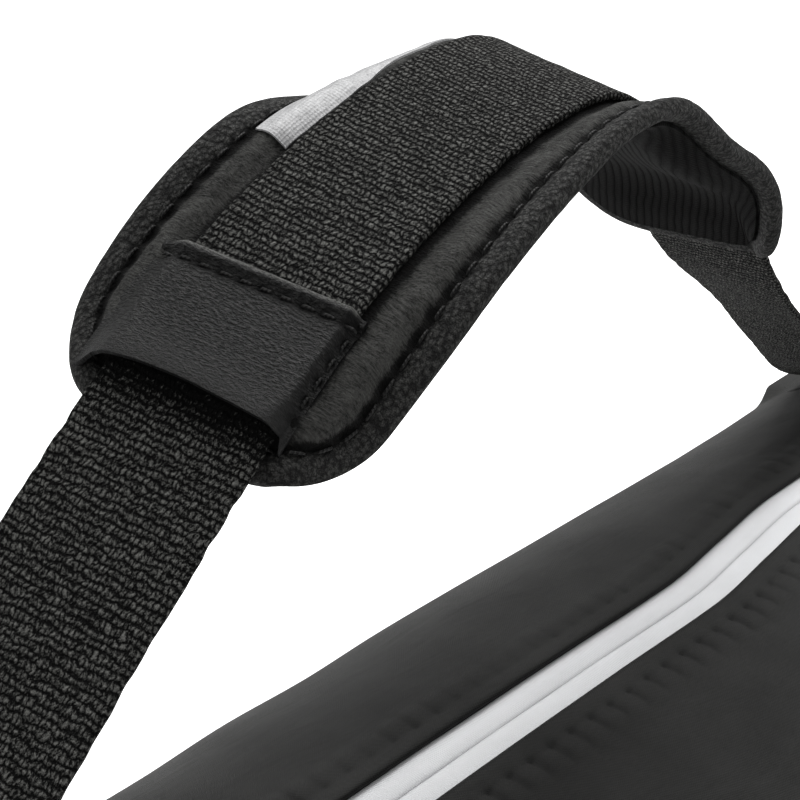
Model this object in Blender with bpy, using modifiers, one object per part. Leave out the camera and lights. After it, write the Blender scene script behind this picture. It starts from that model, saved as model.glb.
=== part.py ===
"""A wheeled snowboard bag, standing on its long narrow edge with its shoulder strap arched over the top.

The bag is a hollow soft body, closed by a zip along its crest. At the -X end a moulded housing carries
two wheels on one axle, and at the +X end there is a haul handle. The shoulder strap is one webbing, sewn
to the bag at both ends, that runs over a stiff curved pad. X runs along the bag, +Y away from the side
that the zip faces, and Z is up. Units are metres.
"""

import math

import bmesh
import bpy
import numpy as np
from mathutils import Vector

# The bag's soft body
BAG_LENGTH = 1.65
BAG_WIDTH = 0.21
BAG_HEIGHT = 0.33
DOME_HEIGHT = 0.085
BASE_RADIUS = 0.03
BASE_SKIRT = 0.004
END_ROUND = 0.07
END_BULGE = 0.006
END_SKIRT = 0.006
WALL = 0.004
SIDE_TUCK = 0.006
END_TAPER = 0.05
CREST_DROP = 0.010
GAP = 0.0003
PLY_GAP = 0.0006

# The zip along the crest
ZIP_WIDTH = 0.0172
ZIP_MARGIN = 0.135
TAPE_THICK = 0.0016
SLIDER_LENGTH = 0.013
SLIDER_WIDTH = 0.009
SLIDER_HEIGHT = 0.004
SLIDER_SETBACK = 0.02
PULL_LENGTH = 0.032
PULL_WIDTH = 0.008
PULL_THICK = 0.0016

# The strap's webbing and where it is sewn to the bag
WEBBING_WIDTH = 0.038
WEBBING_THICK = 0.0018
NEAR_ANCHOR_X = -0.300
NEAR_ANCHOR_ANGLE = 25.0
FAR_ANCHOR_X = 0.262
FAR_ANCHOR_ANGLE = 32.0
NEAR_STRAIGHT = 0.095
FAR_STRAIGHT = 0.115
SEWN_LENGTH = 0.042
PATCH_LENGTH = 0.056
PATCH_WIDTH = 0.046
PATCH_THICK = 0.002
PATCH_CORNER = 0.010

# The shoulder pad: its near end's centre, the plane that it is bent in, and its sizes
PAD_NEAR_X = -0.1089
PAD_NEAR_Y = 0.0084
PAD_RISE = 0.1077
STRAP_YAW = 5.4
STRAP_LEAN = 1.8
PAD_LENGTH = 0.248
PAD_WIDTH = 0.0724
PAD_CORNER = 0.0237
PAD_FLAT = 0.020
PAD_BEND = 0.005
CORE_TOP = 0.0016
CORE_BOTTOM = -0.0026
LINING_THICK = 0.0008
BINDING_WIDTH = 0.0064
BINDING_THICK = 0.0046
STRIP_WIDTH = 0.0082
STRIP_THICK = 0.0005
STRIP_SETBACK = 0.069
SLEEVE_SETBACK = 0.009
SLEEVE_LENGTH = 0.028
SLEEVE_THICK = 0.0013
SLEEVE_SLACK = 0.0009
NEAR_FLANGE = 0.0022
FAR_FLANGE = 0.0055

# The wheels at the -X end
WHEEL_RADIUS = 0.036
WHEEL_WIDTH = 0.026
WHEEL_CLEAR = 0.002
WHEEL_REACH = 0.015
TYRE_THICK = 0.009
HUB_RECESS = 0.004
HUB_BOSS_RADIUS = 0.010
AXLE_RADIUS = 0.004
AXLE_PLAY = 0.0003
AXLE_HEAD_RADIUS = 0.008
AXLE_HEAD_THICK = 0.003
HOUSING_HEIGHT = 0.088
HOUSING_BEVEL = 0.006
WELL_CLEAR = 0.005
BLOCK_GAP = 0.003

# The haul handle at the +X end
HANDLE_REACH = 0.045
HANDLE_WIDTH = 0.034
HANDLE_THICK = 0.0025
HANDLE_SPAN = 0.120
HANDLE_FOOT = 0.022

# The strap's slope along its length: shares of the pad's length, and the rise in degrees
HEADINGS = (
    # share, rise
    (-1.00, 43.7),
    (-0.285, 41.7),
    (0.00, 38.7),
    (0.18, 26.6),
    (0.356, 15.4),
    (0.50, 2.8),
    (0.641, -35.3),
    (0.783, -25.0),
    (0.949, -50.0),
    (1.19, -31.7),
    (1.48, -45.0),
    (1.90, -31.0),
)

# How far the pad's borders curl down and how far the strap is twisted, in degrees
CURLS = (
    # share, far border, near border
    (0.00, 23.8, 53.8),
    (0.25, -10.4, -4.8),
    (0.50, 56.0, -36.0),
    (0.75, 25.8, -25.0),
    (1.00, -5.3, 59.0),
)
TWISTS = (
    # share, twist
    (-0.60, 6.6),
    (0.00, 14.1),
    (0.50, 11.9),
    (1.00, -1.7),
    (1.22, 9.0),
    (1.50, 11.0),
)

HALF_LENGTH = BAG_LENGTH / 2
HALF_WIDTH = BAG_WIDTH / 2
ROUND_X = HALF_LENGTH - END_ROUND
SEAM_X = ROUND_X - END_SKIRT
DOME_BASE = BAG_HEIGHT - DOME_HEIGHT
BASE_SEAM = BASE_RADIUS + BASE_SKIRT
SLOT_HALF = ZIP_WIDTH / 2
EDGE_TURN = 1.0
ZIP_HALF = HALF_LENGTH - ZIP_MARGIN
CENTRE_SHIFT = (WHEEL_REACH - HANDLE_REACH) / 2

WHEEL_X = -HALF_LENGTH - WHEEL_REACH + WHEEL_RADIUS
WHEEL_Z = WHEEL_RADIUS + WHEEL_CLEAR
WHEEL_OUTER_Y = HALF_WIDTH * (1 - END_TAPER) - 0.002
WHEEL_INNER_Y = WHEEL_OUTER_Y - WHEEL_WIDTH
BLOCK_HALF = WHEEL_INNER_Y - BLOCK_GAP

COLOURS = {
    # name: colour, roughness, metallic
    "black_fabric": ((0.012, 0.012, 0.013), 0.75, 0.0),
    "base_fabric": ((0.015, 0.015, 0.016), 0.85, 0.0),
    "grey_zip": ((0.52, 0.53, 0.54), 0.55, 0.0),
    "black_webbing": ((0.015, 0.015, 0.015), 0.9, 0.0),
    "pad_suede": ((0.02, 0.02, 0.02), 0.95, 0.0),
    "pad_ribbing": ((0.012, 0.012, 0.012), 0.95, 0.0),
    "sleeve_leather": ((0.022, 0.022, 0.022), 0.6, 0.0),
    "reflective": ((0.5, 0.5, 0.51), 0.4, 0.0),
    "black_plastic": ((0.02, 0.02, 0.02), 0.45, 0.0),
    "tyre_rubber": ((0.015, 0.015, 0.015), 0.8, 0.0),
    "hub_plastic": ((0.09, 0.09, 0.095), 0.4, 0.0),
    "steel": ((0.45, 0.45, 0.46), 0.3, 1.0),
    "dark_metal": ((0.08, 0.08, 0.085), 0.35, 1.0),
}


# Scene, materials and placing

def clear_scene():
    for obj in list(bpy.data.objects):
        bpy.data.objects.remove(obj, do_unlink=True)


def material(name):
    made = bpy.data.materials.get(name)
    if made is None:
        made = bpy.data.materials.new(name)
        made.use_nodes = True
        colour, roughness, metallic = COLOURS[name]
        shader = made.node_tree.nodes["Principled BSDF"]
        shader.inputs["Base Color"].default_value = (*colour, 1.0)
        shader.inputs["Roughness"].default_value = roughness
        shader.inputs["Metallic"].default_value = metallic
    return made


def collection(name):
    made = bpy.data.collections.new(name)
    bpy.context.scene.collection.children.link(made)
    return made


def node(name, mesh, finish):
    """A named part of the bag that holds this mesh, carried by the bag's centre."""
    mesh.materials.clear()
    mesh.materials.append(material(finish))
    obj = bpy.data.objects.new(name, mesh)
    PARTS.objects.link(obj)
    obj.parent = CENTRE
    return obj


def cutter(name, low, high):
    """A hidden box between two corners that cuts a part."""
    obj = bpy.data.objects.new(name, box_mesh(name, low, high))
    CUTTERS.objects.link(obj)
    obj.parent = CENTRE
    obj.hide_render = True
    obj.display_type = "WIRE"
    return obj


def cut(obj, tool):
    step = obj.modifiers.new("cut_" + tool.name, "BOOLEAN")
    step.operation = "DIFFERENCE"
    step.solver = "EXACT"
    step.object = tool


def bevel(obj, width, segments=2):
    step = obj.modifiers.new("rounded_edges", "BEVEL")
    step.width = width
    step.segments = segments
    step.limit_method = "ANGLE"
    step.angle_limit = math.radians(40)


# Meshes

def mesh_from(name, points, faces, smooth=True):
    mesh = bpy.data.meshes.new(name)
    mesh.from_pydata([tuple(p) for p in points], [], faces)
    mesh.validate()
    shape = bmesh.new()
    shape.from_mesh(mesh)
    bmesh.ops.recalc_face_normals(shape, faces=shape.faces)
    shape.to_mesh(mesh)
    shape.free()
    if smooth:
        mesh.shade_smooth()
        mesh.set_sharp_from_angle(angle=math.radians(40))
    return mesh


def box_mesh(name, low, high):
    shape = bmesh.new()
    bmesh.ops.create_cube(shape, size=1.0)
    for vert in shape.verts:
        vert.co = Vector((a + (b - a) * (c + 0.5) for a, b, c in zip(low, high, vert.co)))
    mesh = bpy.data.meshes.new(name)
    shape.to_mesh(mesh)
    shape.free()
    return mesh


def grid_faces(rows, columns, closed, turned_from=None):
    """The quads of a grid of points, row after row, whose rows may be closed rings.

    From column turned_from on, each quad starts at its next corner, so its diagonal runs the other way."""
    faces = []
    for i in range(rows - 1):
        for j in range(columns if closed else columns - 1):
            k = (j + 1) % columns
            quad = (i * columns + j, i * columns + k, (i + 1) * columns + k, (i + 1) * columns + j)
            if turned_from is not None and j >= turned_from:
                quad = quad[1:] + quad[:1]
            faces.append(quad)
    return faces


def loft(name, rings, finish, closed_path=False, turned_from=None):
    """A solid through rings of equal length. It has flat ends, or runs round to its first ring."""
    rings = [list(ring) for ring in rings]
    count = len(rings[0])
    if closed_path:
        faces = grid_faces(len(rings) + 1, count, True)
        total = len(rings) * count
        faces = [tuple(index % total for index in face) for face in faces]
    else:
        faces = grid_faces(len(rings), count, True, turned_from)
        faces.append(tuple(range(count)))
        faces.append(tuple(range((len(rings) - 1) * count, len(rings) * count)))
    return node(name, mesh_from(name, [p for ring in rings for p in ring], faces), finish)


def plate(name, outer, inner, finish):
    """A solid between two like grids of points, whose quads are split along the same diagonals."""
    rings = [list(top) + list(reversed(bottom)) for top, bottom in zip(outer, inner)]
    return loft(name, rings, finish, turned_from=len(rings[0]) // 2)


def turned(name, profile, finish, steps, centre, ring=True):
    """A solid turned about Y from a profile of (radius, y) that is a closed ring or ends on the axis."""
    count = len(profile)
    edges = [(i, (i + 1) % count) for i in range(count if ring else count - 1)]
    mesh = bpy.data.meshes.new(name)
    mesh.from_pydata([(radius, y, 0) for radius, y in profile], edges, [])
    obj = node(name, mesh, finish)
    obj.location = centre
    step = obj.modifiers.new("turned", "SCREW")
    step.axis = "Y"
    step.steps = steps
    step.render_steps = steps
    step.use_merge_vertices = True
    step.merge_threshold = 0.0001
    step.use_smooth_shade = True
    return obj


def smooth_value(share, table, column=1):
    """A smooth curve through a table's rows, level past its ends."""
    shares = [row[0] for row in table]
    values = [row[column] for row in table]
    share = min(max(share, shares[0]), shares[-1])
    i = min(max(int(np.searchsorted(shares, share)) - 1, 0), len(shares) - 2)

    def slope(k):
        if k == 0 or k == len(shares) - 1:
            return 0.0
        before = (values[k] - values[k - 1]) / (shares[k] - shares[k - 1])
        after = (values[k + 1] - values[k]) / (shares[k + 1] - shares[k])
        return 0.0 if before * after <= 0 else 2 * before * after / (before + after)

    width = shares[i + 1] - shares[i]
    t = (share - shares[i]) / width
    return (
        values[i] * (1 + 2 * t) * (1 - t) ** 2
        + values[i + 1] * t * t * (3 - 2 * t)
        + width * (slope(i) * t * (1 - t) ** 2 - slope(i + 1) * t * t * (1 - t))
    )


# The bag's outer surface

def side_outline(count):
    """(y, z) up the bag's side from the base seam to the foot of the dome."""
    for i in range(count):
        share = i / (count - 1)
        tuck = SIDE_TUCK * (1 + math.cos(math.pi * share)) / 2
        yield HALF_WIDTH - tuck, BASE_SEAM + (DOME_BASE - BASE_SEAM) * share


def dome_outline(angles):
    """(y, z) over the dome, at angles in degrees from the crest."""
    for angle in angles:
        turn = math.radians(angle)
        yield HALF_WIDTH * math.sin(turn), DOME_BASE + DOME_HEIGHT * math.cos(turn)


def base_outline(count):
    """(y, z) round the lower corner, from the foot of the side wall to the flat floor."""
    for i in range(count):
        turn = math.pi / 2 * i / (count - 1)
        across = HALF_WIDTH - SIDE_TUCK - BASE_RADIUS * (1 - math.cos(turn))
        yield across, BASE_RADIUS * (1 - math.sin(turn))


def end_inset(x):
    """How far the section is drawn in at x, where the ends are rounded."""
    past = min(max(abs(x) - ROUND_X, 0.0), END_ROUND)
    return END_ROUND - math.sqrt(END_ROUND**2 - past**2)


def body_point(x, y, z):
    """A point of the bag's middle section, carried to the section at x."""
    run = min(abs(x) / HALF_LENGTH, 1.0) ** 2
    inset = end_inset(x)
    middle = BAG_HEIGHT / 2
    across = y * (1 - END_TAPER * run) * (1 - inset / HALF_WIDTH)
    height = z * (1 - CREST_DROP / BAG_HEIGHT * run)
    return Vector((x, across, middle + (height - middle) * (1 - inset / middle)))


def crest_point(x, angle):
    y, z = next(dome_outline((angle,)))
    return body_point(x, y, z)


def crest_frame(x, angle, lift=0.0):
    """A point over the dome with the directions along the bag, across the dome and out of it."""
    along = (crest_point(x + 0.001, angle) - crest_point(x - 0.001, angle)).normalized()
    across = (crest_point(x, angle + 0.5) - crest_point(x, angle - 0.5)).normalized()
    out = along.cross(across).normalized()
    return crest_point(x, angle) + out * lift, along, across, out


def crest_angle(y):
    """The dome angle at a distance y from the crest line."""
    return math.degrees(math.asin(y / HALF_WIDTH))


def thickened(name, grid, closed, finish, thick, reverse, extra_faces=()):
    """An open grid of outer points given a wall on its inner side."""
    rows, columns = len(grid), len(grid[0])
    faces = grid_faces(rows, columns, closed) + list(extra_faces)
    if reverse:
        faces = [tuple(reversed(face)) for face in faces]
    mesh = bpy.data.meshes.new(name)
    mesh.from_pydata([tuple(p) for row in grid for p in row], [], faces)
    mesh.shade_smooth()
    mesh.set_sharp_from_angle(angle=math.radians(40))
    obj = node(name, mesh, finish)
    step = obj.modifiers.new("wall", "SOLIDIFY")
    step.thickness = thick
    step.offset = -1.0
    return obj


# The bag's pieces

def panel_stations():
    """Stations along a side panel, close together where the zip's slot ends."""
    slot_end = ZIP_HALF + GAP
    inner = np.linspace(-slot_end, slot_end, 13)
    return [-SEAM_X, -slot_end - 0.012, *inner, slot_end + 0.012, SEAM_X]


def add_side_panel(name, side):
    grid = []
    for x in panel_stations():
        reach = SLOT_HALF if abs(x) < ZIP_HALF + 0.001 else GAP / 2
        top = crest_angle(reach)
        angles = (*np.linspace(90.0, top + EDGE_TURN, 8)[1:], top)
        section = list(side_outline(5)) + list(dome_outline(angles))
        grid.append([body_point(x, side * y, z) for y, z in section])
    thickened(name, grid, False, "black_fabric", WALL, side < 0)


def add_base_panel():
    corner = list(base_outline(5))
    seam = (corner[0][0], BASE_SEAM - GAP)
    grid = []
    for x in np.linspace(-SEAM_X, SEAM_X, 9):
        near = [(-y, z) for y, z in [seam] + corner]
        far = [(-y, z) for y, z in reversed(near)]
        grid.append([body_point(x, y, z) for y, z in near + far])
    thickened("base_panel", grid, False, "base_fabric", WALL, False)


def full_section():
    """The closed ring of the bag's section, from the crest round by the far side."""
    far = list(dome_outline(np.linspace(0.0, 90.0, 7)))
    far += list(reversed(list(side_outline(5))))[1:]
    far += list(base_outline(5))
    near = [(-y, z) for y, z in reversed(far) if y > 1e-9]
    return far + near


def end_bulge(share):
    """How far an end face swells out, at a share of the way from its middle to its rim."""
    return END_BULGE * (1 - share**2)


def add_end_panel(name, side):
    """A rounded end: rings from the seam round to the flat end face, then in to its middle."""
    section = full_section()
    turns = np.radians(np.linspace(0.0, 90.0, 5))
    grid = []
    for x in (SEAM_X + GAP, *(ROUND_X + END_ROUND * math.sin(turn) for turn in turns)):
        grid.append([body_point(side * x, y, z) for y, z in section])
    rim = grid[-1]
    centre = Vector((side * HALF_LENGTH, 0, BAG_HEIGHT / 2))
    for share in (0.66, 0.33):
        bulge = Vector((side * end_bulge(share), 0, 0))
        grid.append([centre + (p - centre) * share + bulge for p in rim])
    count = len(section)
    last = len(grid) - 1
    cap = tuple(range(last * count, (last + 1) * count))
    return thickened(name, grid, True, "black_fabric", WALL, side > 0, [cap])


def tape_grid(side, depth):
    inner = crest_angle(GAP / 2)
    outer = crest_angle(SLOT_HALF - GAP)
    for x in np.linspace(-ZIP_HALF, ZIP_HALF, 15):
        row = []
        for angle in np.linspace(inner, outer, 3):
            point, _, _, out = crest_frame(x, side * angle)
            row.append(point - out * depth)
        yield row


def add_zip():
    for name, side in (("zip_tape_near", -1), ("zip_tape_far", 1)):
        plate(name, tape_grid(side, 0.0), tape_grid(side, TAPE_THICK), "grey_zip")
    x = -ZIP_HALF + SLIDER_SETBACK
    seat = crest_point(x, 0.0).z + GAP
    low = (x - SLIDER_LENGTH / 2, -SLIDER_WIDTH / 2, seat)
    high = (x + SLIDER_LENGTH / 2, SLIDER_WIDTH / 2, seat + SLIDER_HEIGHT)
    slider = node("zip_slider", box_mesh("zip_slider", low, high), "dark_metal")
    bevel(slider, 0.001)
    start = x + SLIDER_LENGTH / 2 + GAP
    floor = crest_point(start + PULL_LENGTH, 0.0).z + GAP
    low = (start, -PULL_WIDTH / 2, floor)
    high = (start + PULL_LENGTH, PULL_WIDTH / 2, floor + PULL_THICK)
    pull = node("zip_pull", box_mesh("zip_pull", low, high), "dark_metal")
    bevel(pull, 0.0005)


# The strap's middle line and the pad's surface

def strap_axes():
    """The directions along, across and up the plane that the strap is bent in."""
    yaw = math.radians(STRAP_YAW)
    lean = math.radians(STRAP_LEAN)
    along = Vector((math.cos(yaw), math.sin(yaw), 0.0))
    level = Vector((-math.sin(yaw), math.cos(yaw), 0.0))
    across = level * math.cos(lean) + Vector((0, 0, math.sin(lean)))
    return along, across, along.cross(across)


def strap_spine():
    """Arc lengths and points of the strap's middle line, in the plane that it is bent in."""
    lengths = np.arange(-NEAR_STRAIGHT, PAD_LENGTH + FAR_STRAIGHT + 0.001, 0.001)
    rises = np.radians([smooth_value(s / PAD_LENGTH, HEADINGS) for s in lengths])
    steps = np.diff(lengths) / 2
    runs = np.concatenate([[0], np.cumsum((np.cos(rises)[1:] + np.cos(rises)[:-1]) * steps)])
    lifts = np.concatenate([[0], np.cumsum((np.sin(rises)[1:] + np.sin(rises)[:-1]) * steps)])
    runs -= np.interp(0.0, lengths, runs)
    lifts -= np.interp(0.0, lengths, lifts)
    return lengths, runs, lifts, rises


def strap_frame(s):
    """The strap's middle at arc length s from the pad's near end, with its along, across and up directions."""
    lengths, runs, lifts, rises = SPINE
    along, across, up = strap_axes()
    start = Vector((PAD_NEAR_X, PAD_NEAR_Y, BAG_HEIGHT + PAD_RISE))
    middle = start + along * float(np.interp(s, lengths, runs)) + up * float(np.interp(s, lengths, lifts))
    rise = float(np.interp(s, lengths, rises))
    ahead = along * math.cos(rise) + up * math.sin(rise)
    normal = up * math.cos(rise) - along * math.sin(rise)
    twist = math.radians(smooth_value(s / PAD_LENGTH, TWISTS))
    side = across * math.cos(twist) + normal * math.sin(twist)
    return middle, ahead, side, ahead.cross(side)


def pad_point(s, w, h):
    """A point of the pad: s along it, w across it towards the far border, h above its middle sheet."""
    middle, _, side, normal = strap_frame(s)
    column = 1 if w > 0 else 2
    curl = math.radians(smooth_value(s / PAD_LENGTH, CURLS, column))
    curl = curl if abs(curl) > 1e-4 else 1e-4
    bent = min(max(abs(w) - PAD_FLAT, 0.0), PAD_BEND)
    turn = curl * bent / PAD_BEND
    radius = PAD_BEND / curl
    rest = max(abs(w) - PAD_FLAT - PAD_BEND, 0.0)
    out = min(abs(w), PAD_FLAT) + radius * math.sin(turn) + rest * math.cos(turn) + h * math.sin(turn)
    drop = radius * (1 - math.cos(turn)) + rest * math.sin(turn)
    return middle + side * math.copysign(out, w) + normal * (h * math.cos(turn) - drop)


def pad_half_width(s, inset):
    """Half the pad's width at s, with its corners rounded, drawn in all round by inset."""
    half = PAD_WIDTH / 2 - inset
    corner = PAD_CORNER - inset
    reach = min(s - inset, PAD_LENGTH - inset - s)
    if reach >= corner:
        return half
    return half - corner + math.sqrt(max(corner**2 - (corner - reach) ** 2, 0.0))


def pad_stations(inset):
    corner = PAD_CORNER - inset
    turns = np.radians(np.linspace(8.0, 90.0, 6))
    start = [inset + corner * (1 - math.cos(t)) for t in turns]
    middle = np.linspace(start[-1], PAD_LENGTH - start[-1], 18)[1:-1]
    return [*start, *middle, *(PAD_LENGTH - s for s in reversed(start))]


def pad_columns(half):
    """Places across the pad, with a column at each side of both bends where the pad is wide enough."""
    places = (PAD_FLAT / 3, PAD_FLAT, PAD_FLAT + PAD_BEND / 2, PAD_FLAT + PAD_BEND, half)
    shares = (0.30, 0.80, 0.87, 0.94, 1.0)
    far = [min(place, half * share) for place, share in zip(places, shares)]
    return [-w for w in reversed(far)] + far


def pad_plate(name, inset, top, bottom, finish):
    upper, lower = [], []
    for s in pad_stations(inset):
        columns = pad_columns(pad_half_width(s, inset))
        upper.append([pad_point(s, w, top) for w in columns])
        lower.append([pad_point(s, w, bottom) for w in columns])
    plate(name, upper, lower, finish)


def rim_path():
    """(s, w, outward s, outward w) round the pad's outline."""
    corner = PAD_CORNER
    half = PAD_WIDTH / 2
    straight = PAD_LENGTH - 2 * corner
    for s in np.linspace(corner, PAD_LENGTH - corner, 24)[:-1]:
        yield s, half, 0.0, 1.0
    for centre_s, centre_w, first in (
        (corner + straight, half - corner, 90.0),
        (corner + straight, corner - half, 0.0),
        (corner, corner - half, -90.0),
        (corner, half - corner, -180.0),
    ):
        for turn in np.radians(np.linspace(first, first - 90.0, 6)):
            along, across = math.cos(turn), math.sin(turn)
            yield centre_s + corner * along, centre_w + corner * across, along, across
        if first == 0.0:
            for s in np.linspace(PAD_LENGTH - corner, corner, 24)[1:-1]:
                yield s, -half, 0.0, -1.0


def add_binding():
    """The rolled edge: a flattened round section carried round the pad's outline."""
    middle = (CORE_TOP + CORE_BOTTOM - LINING_THICK) / 2
    profile = []
    for turn in np.radians(np.arange(0, 360, 60)):
        profile.append((BINDING_WIDTH / 2 * (math.cos(turn) - 1), BINDING_THICK / 2 * math.sin(turn)))
    rings = []
    for s, w, out_s, out_w in rim_path():
        rings.append([pad_point(s + r * out_s, w + r * out_w, middle + h) for r, h in profile])
    loft("pad_edge_binding", rings, "pad_ribbing", closed_path=True)


def add_pad():
    inset = BINDING_WIDTH + GAP
    pad_plate("pad_core", inset, CORE_TOP, CORE_BOTTOM, "pad_suede")
    top = CORE_BOTTOM - PLY_GAP
    pad_plate("pad_lining", inset, top, top - LINING_THICK, "pad_ribbing")
    add_binding()
    add_strip()
    for name, mirrored in (("pad_sleeve_near", False), ("pad_sleeve_far", True)):
        add_sleeve(name, mirrored)


def add_strip():
    inner = WEBBING_WIDTH / 2 + SLEEVE_SLACK + SLEEVE_THICK
    floor = CORE_TOP + PLY_GAP
    upper, lower = [], []
    for s in np.linspace(STRIP_SETBACK, PAD_LENGTH - STRIP_SETBACK, 18):
        across = (inner, inner + STRIP_WIDTH / 2, inner + STRIP_WIDTH)
        upper.append([pad_point(s, w, floor + STRIP_THICK) for w in across])
        lower.append([pad_point(s, w, floor) for w in across])
    plate("reflective_strip", upper, lower, "reflective")


def sleeve_profile():
    """(w, h) of the sleeve's outer and inner faces, from the near flange over to the far one."""
    floor = CORE_TOP + PLY_GAP
    ceiling = CORE_TOP + WEBBING_THICK + 2 * PLY_GAP
    step = floor + SLEEVE_THICK
    wall = WEBBING_WIDTH / 2 + SLEEVE_SLACK
    near = (-wall - NEAR_FLANGE, -wall - NEAR_FLANGE * 0.7, -wall - NEAR_FLANGE / 2)
    far = (wall + FAR_FLANGE / 3, wall + FAR_FLANGE * 0.7, wall + FAR_FLANGE)
    inner = [(w, floor) for w in (*near, -wall)] + [(-wall, ceiling), (wall, ceiling)]
    inner += [(w, floor) for w in (wall, *far)]
    top = ceiling + SLEEVE_THICK
    outer_wall = wall + SLEEVE_THICK
    outer = [(w, step) for w in (*near, -outer_wall)] + [(-outer_wall, top), (outer_wall, top)]
    outer += [(w, step) for w in (outer_wall, *far)]
    return outer, inner


def add_sleeve(name, mirrored):
    outer, inner = sleeve_profile()
    upper, lower = [], []
    for offset in np.linspace(SLEEVE_SETBACK, SLEEVE_SETBACK + SLEEVE_LENGTH, 6):
        s = PAD_LENGTH - offset if mirrored else offset
        upper.append([pad_point(s, w, h) for w, h in outer])
        lower.append([pad_point(s, w, h) for w, h in inner])
    plate(name, upper, lower, "sleeve_leather")


# The strap's webbing

def hermite(start, start_slope, end, end_slope, t):
    return (
        start * ((1 + 2 * t) * (1 - t) ** 2)
        + start_slope * (t * (1 - t) ** 2)
        + end * (t * t * (3 - 2 * t))
        - end_slope * (t * t * (1 - t))
    )


def landing(s, x, angle, heading):
    """Stations from the strap's arc length s down to the patch at x, then along the sewn stretch.

    heading is 1 where the strap is followed towards +X, and -1 towards -X."""
    lift = GAP + PATCH_THICK + 2 * GAP + WEBBING_THICK / 2
    middle, ahead, side, normal = strap_frame(s)
    start = middle + normal * WEBBING_LIFT
    end, along, across, _ = crest_frame(x, angle, lift)
    reach = (end - start).length
    stations = []
    for t in np.linspace(0.0, 1.0, 13)[1:]:
        slope_in, slope_out = ahead * (heading * reach), along * (heading * reach)
        place = hermite(start, slope_in, end, slope_out, t)
        further = hermite(start, slope_in, end, slope_out, t + 0.01)
        turned_side = side.lerp(across, t * t * (3 - 2 * t))
        stations.append((place, (further - place) * heading, turned_side))
    for t in (0.25, 0.5, 0.75, 1.0):
        place, along, across, _ = crest_frame(x + heading * SEWN_LENGTH * t, angle, lift)
        stations.append((place, along, across))
    return stations


def webbing_stations():
    """(place, along, across) all along the webbing, from the near patch to the far one."""
    near = landing(-NEAR_STRAIGHT, NEAR_ANCHOR_X, NEAR_ANCHOR_ANGLE, -1)
    far = landing(PAD_LENGTH + FAR_STRAIGHT, FAR_ANCHOR_X, FAR_ANCHOR_ANGLE, 1)
    over = []
    for s in np.linspace(-NEAR_STRAIGHT, PAD_LENGTH + FAR_STRAIGHT, 72):
        middle, ahead, side, normal = strap_frame(s)
        over.append((middle + normal * WEBBING_LIFT, ahead, side))
    return list(reversed(near)) + over + far


def add_webbing():
    rings = []
    half = WEBBING_WIDTH / 2
    for place, along, across in webbing_stations():
        out = along.cross(across).normalized()
        side = out.cross(along).normalized()
        lift = out * (WEBBING_THICK / 2)
        corners = ((-half, -1), (half, -1), (half, 1), (0, 1), (-half, 1))
        rings.append([place + side * w + lift * h for w, h in corners])
    loft("shoulder_webbing", rings, "black_webbing")


def add_patch(name, x, angle, heading):
    """A sewn patch with rounded corners that follows the dome under the webbing's end."""
    middle = x + heading * SEWN_LENGTH / 2
    turn_per_metre = math.degrees(1 / arc_length_rate(middle, angle))
    upper, lower = [], []
    for u in patch_stations():
        past = max(abs(u) - (PATCH_LENGTH / 2 - PATCH_CORNER), 0.0)
        half = PATCH_WIDTH / 2 - PATCH_CORNER + math.sqrt(max(PATCH_CORNER**2 - past**2, 0.0))
        top_row, bottom_row = [], []
        for v in np.linspace(-half, half, 7):
            point, _, _, out = crest_frame(middle + u, angle + v * turn_per_metre)
            bottom_row.append(point + out * GAP)
            top_row.append(point + out * (GAP + PATCH_THICK))
        upper.append(top_row)
        lower.append(bottom_row)
    plate(name, upper, lower, "black_fabric")


def patch_stations():
    edge = PATCH_LENGTH / 2 - PATCH_CORNER
    turns = np.radians(np.linspace(10.0, 90.0, 4))
    ends = [edge + PATCH_CORNER * math.cos(t) for t in turns]
    return [-u for u in ends] + [0.0] + list(reversed(ends))


def arc_length_rate(x, angle):
    """The length of the dome's outline, in metres, that one radian of its angle covers."""
    return (crest_point(x, angle + 0.5) - crest_point(x, angle - 0.5)).length / math.radians(1.0)


# The wheels, their housing and the haul handle

def add_housing():
    """A moulded corner block, with an open well at each end for a wheel and a bore for the axle."""
    outer = HALF_WIDTH * (1 - END_TAPER)
    low = (-HALF_LENGTH, -outer, 0.0)
    high = (-SEAM_X - GAP, outer, HOUSING_HEIGHT - GAP)
    housing = node("wheel_housing", box_mesh("wheel_housing", low, high), "black_plastic")
    bevel(housing, HOUSING_BEVEL, 3)
    for name, side in (("well_near", -1), ("well_far", 1)):
        edge = sorted((side * BLOCK_HALF, side * (outer + 0.02)))
        well_low = (-HALF_LENGTH - 0.03, edge[0], -0.02)
        well_high = (WHEEL_X + WHEEL_RADIUS + WELL_CLEAR, edge[1], WHEEL_Z + WHEEL_RADIUS + WELL_CLEAR)
        cut(housing, cutter(name, well_low, well_high))
    cut(housing, bore_cutter())


def bore_cutter():
    bore = bmesh.new()
    reach = AXLE_RADIUS + AXLE_PLAY
    bmesh.ops.create_cone(
        bore, cap_ends=True, segments=24, radius1=reach, radius2=reach, depth=BAG_WIDTH + 0.02
    )
    mesh = bpy.data.meshes.new("axle_bore")
    bore.to_mesh(mesh)
    bore.free()
    obj = bpy.data.objects.new("axle_bore", mesh)
    CUTTERS.objects.link(obj)
    obj.parent = CENTRE
    obj.location = (WHEEL_X, 0, WHEEL_Z)
    obj.rotation_euler = (math.pi / 2, 0, 0)
    obj.hide_render = True
    obj.display_type = "WIRE"
    return obj


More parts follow.
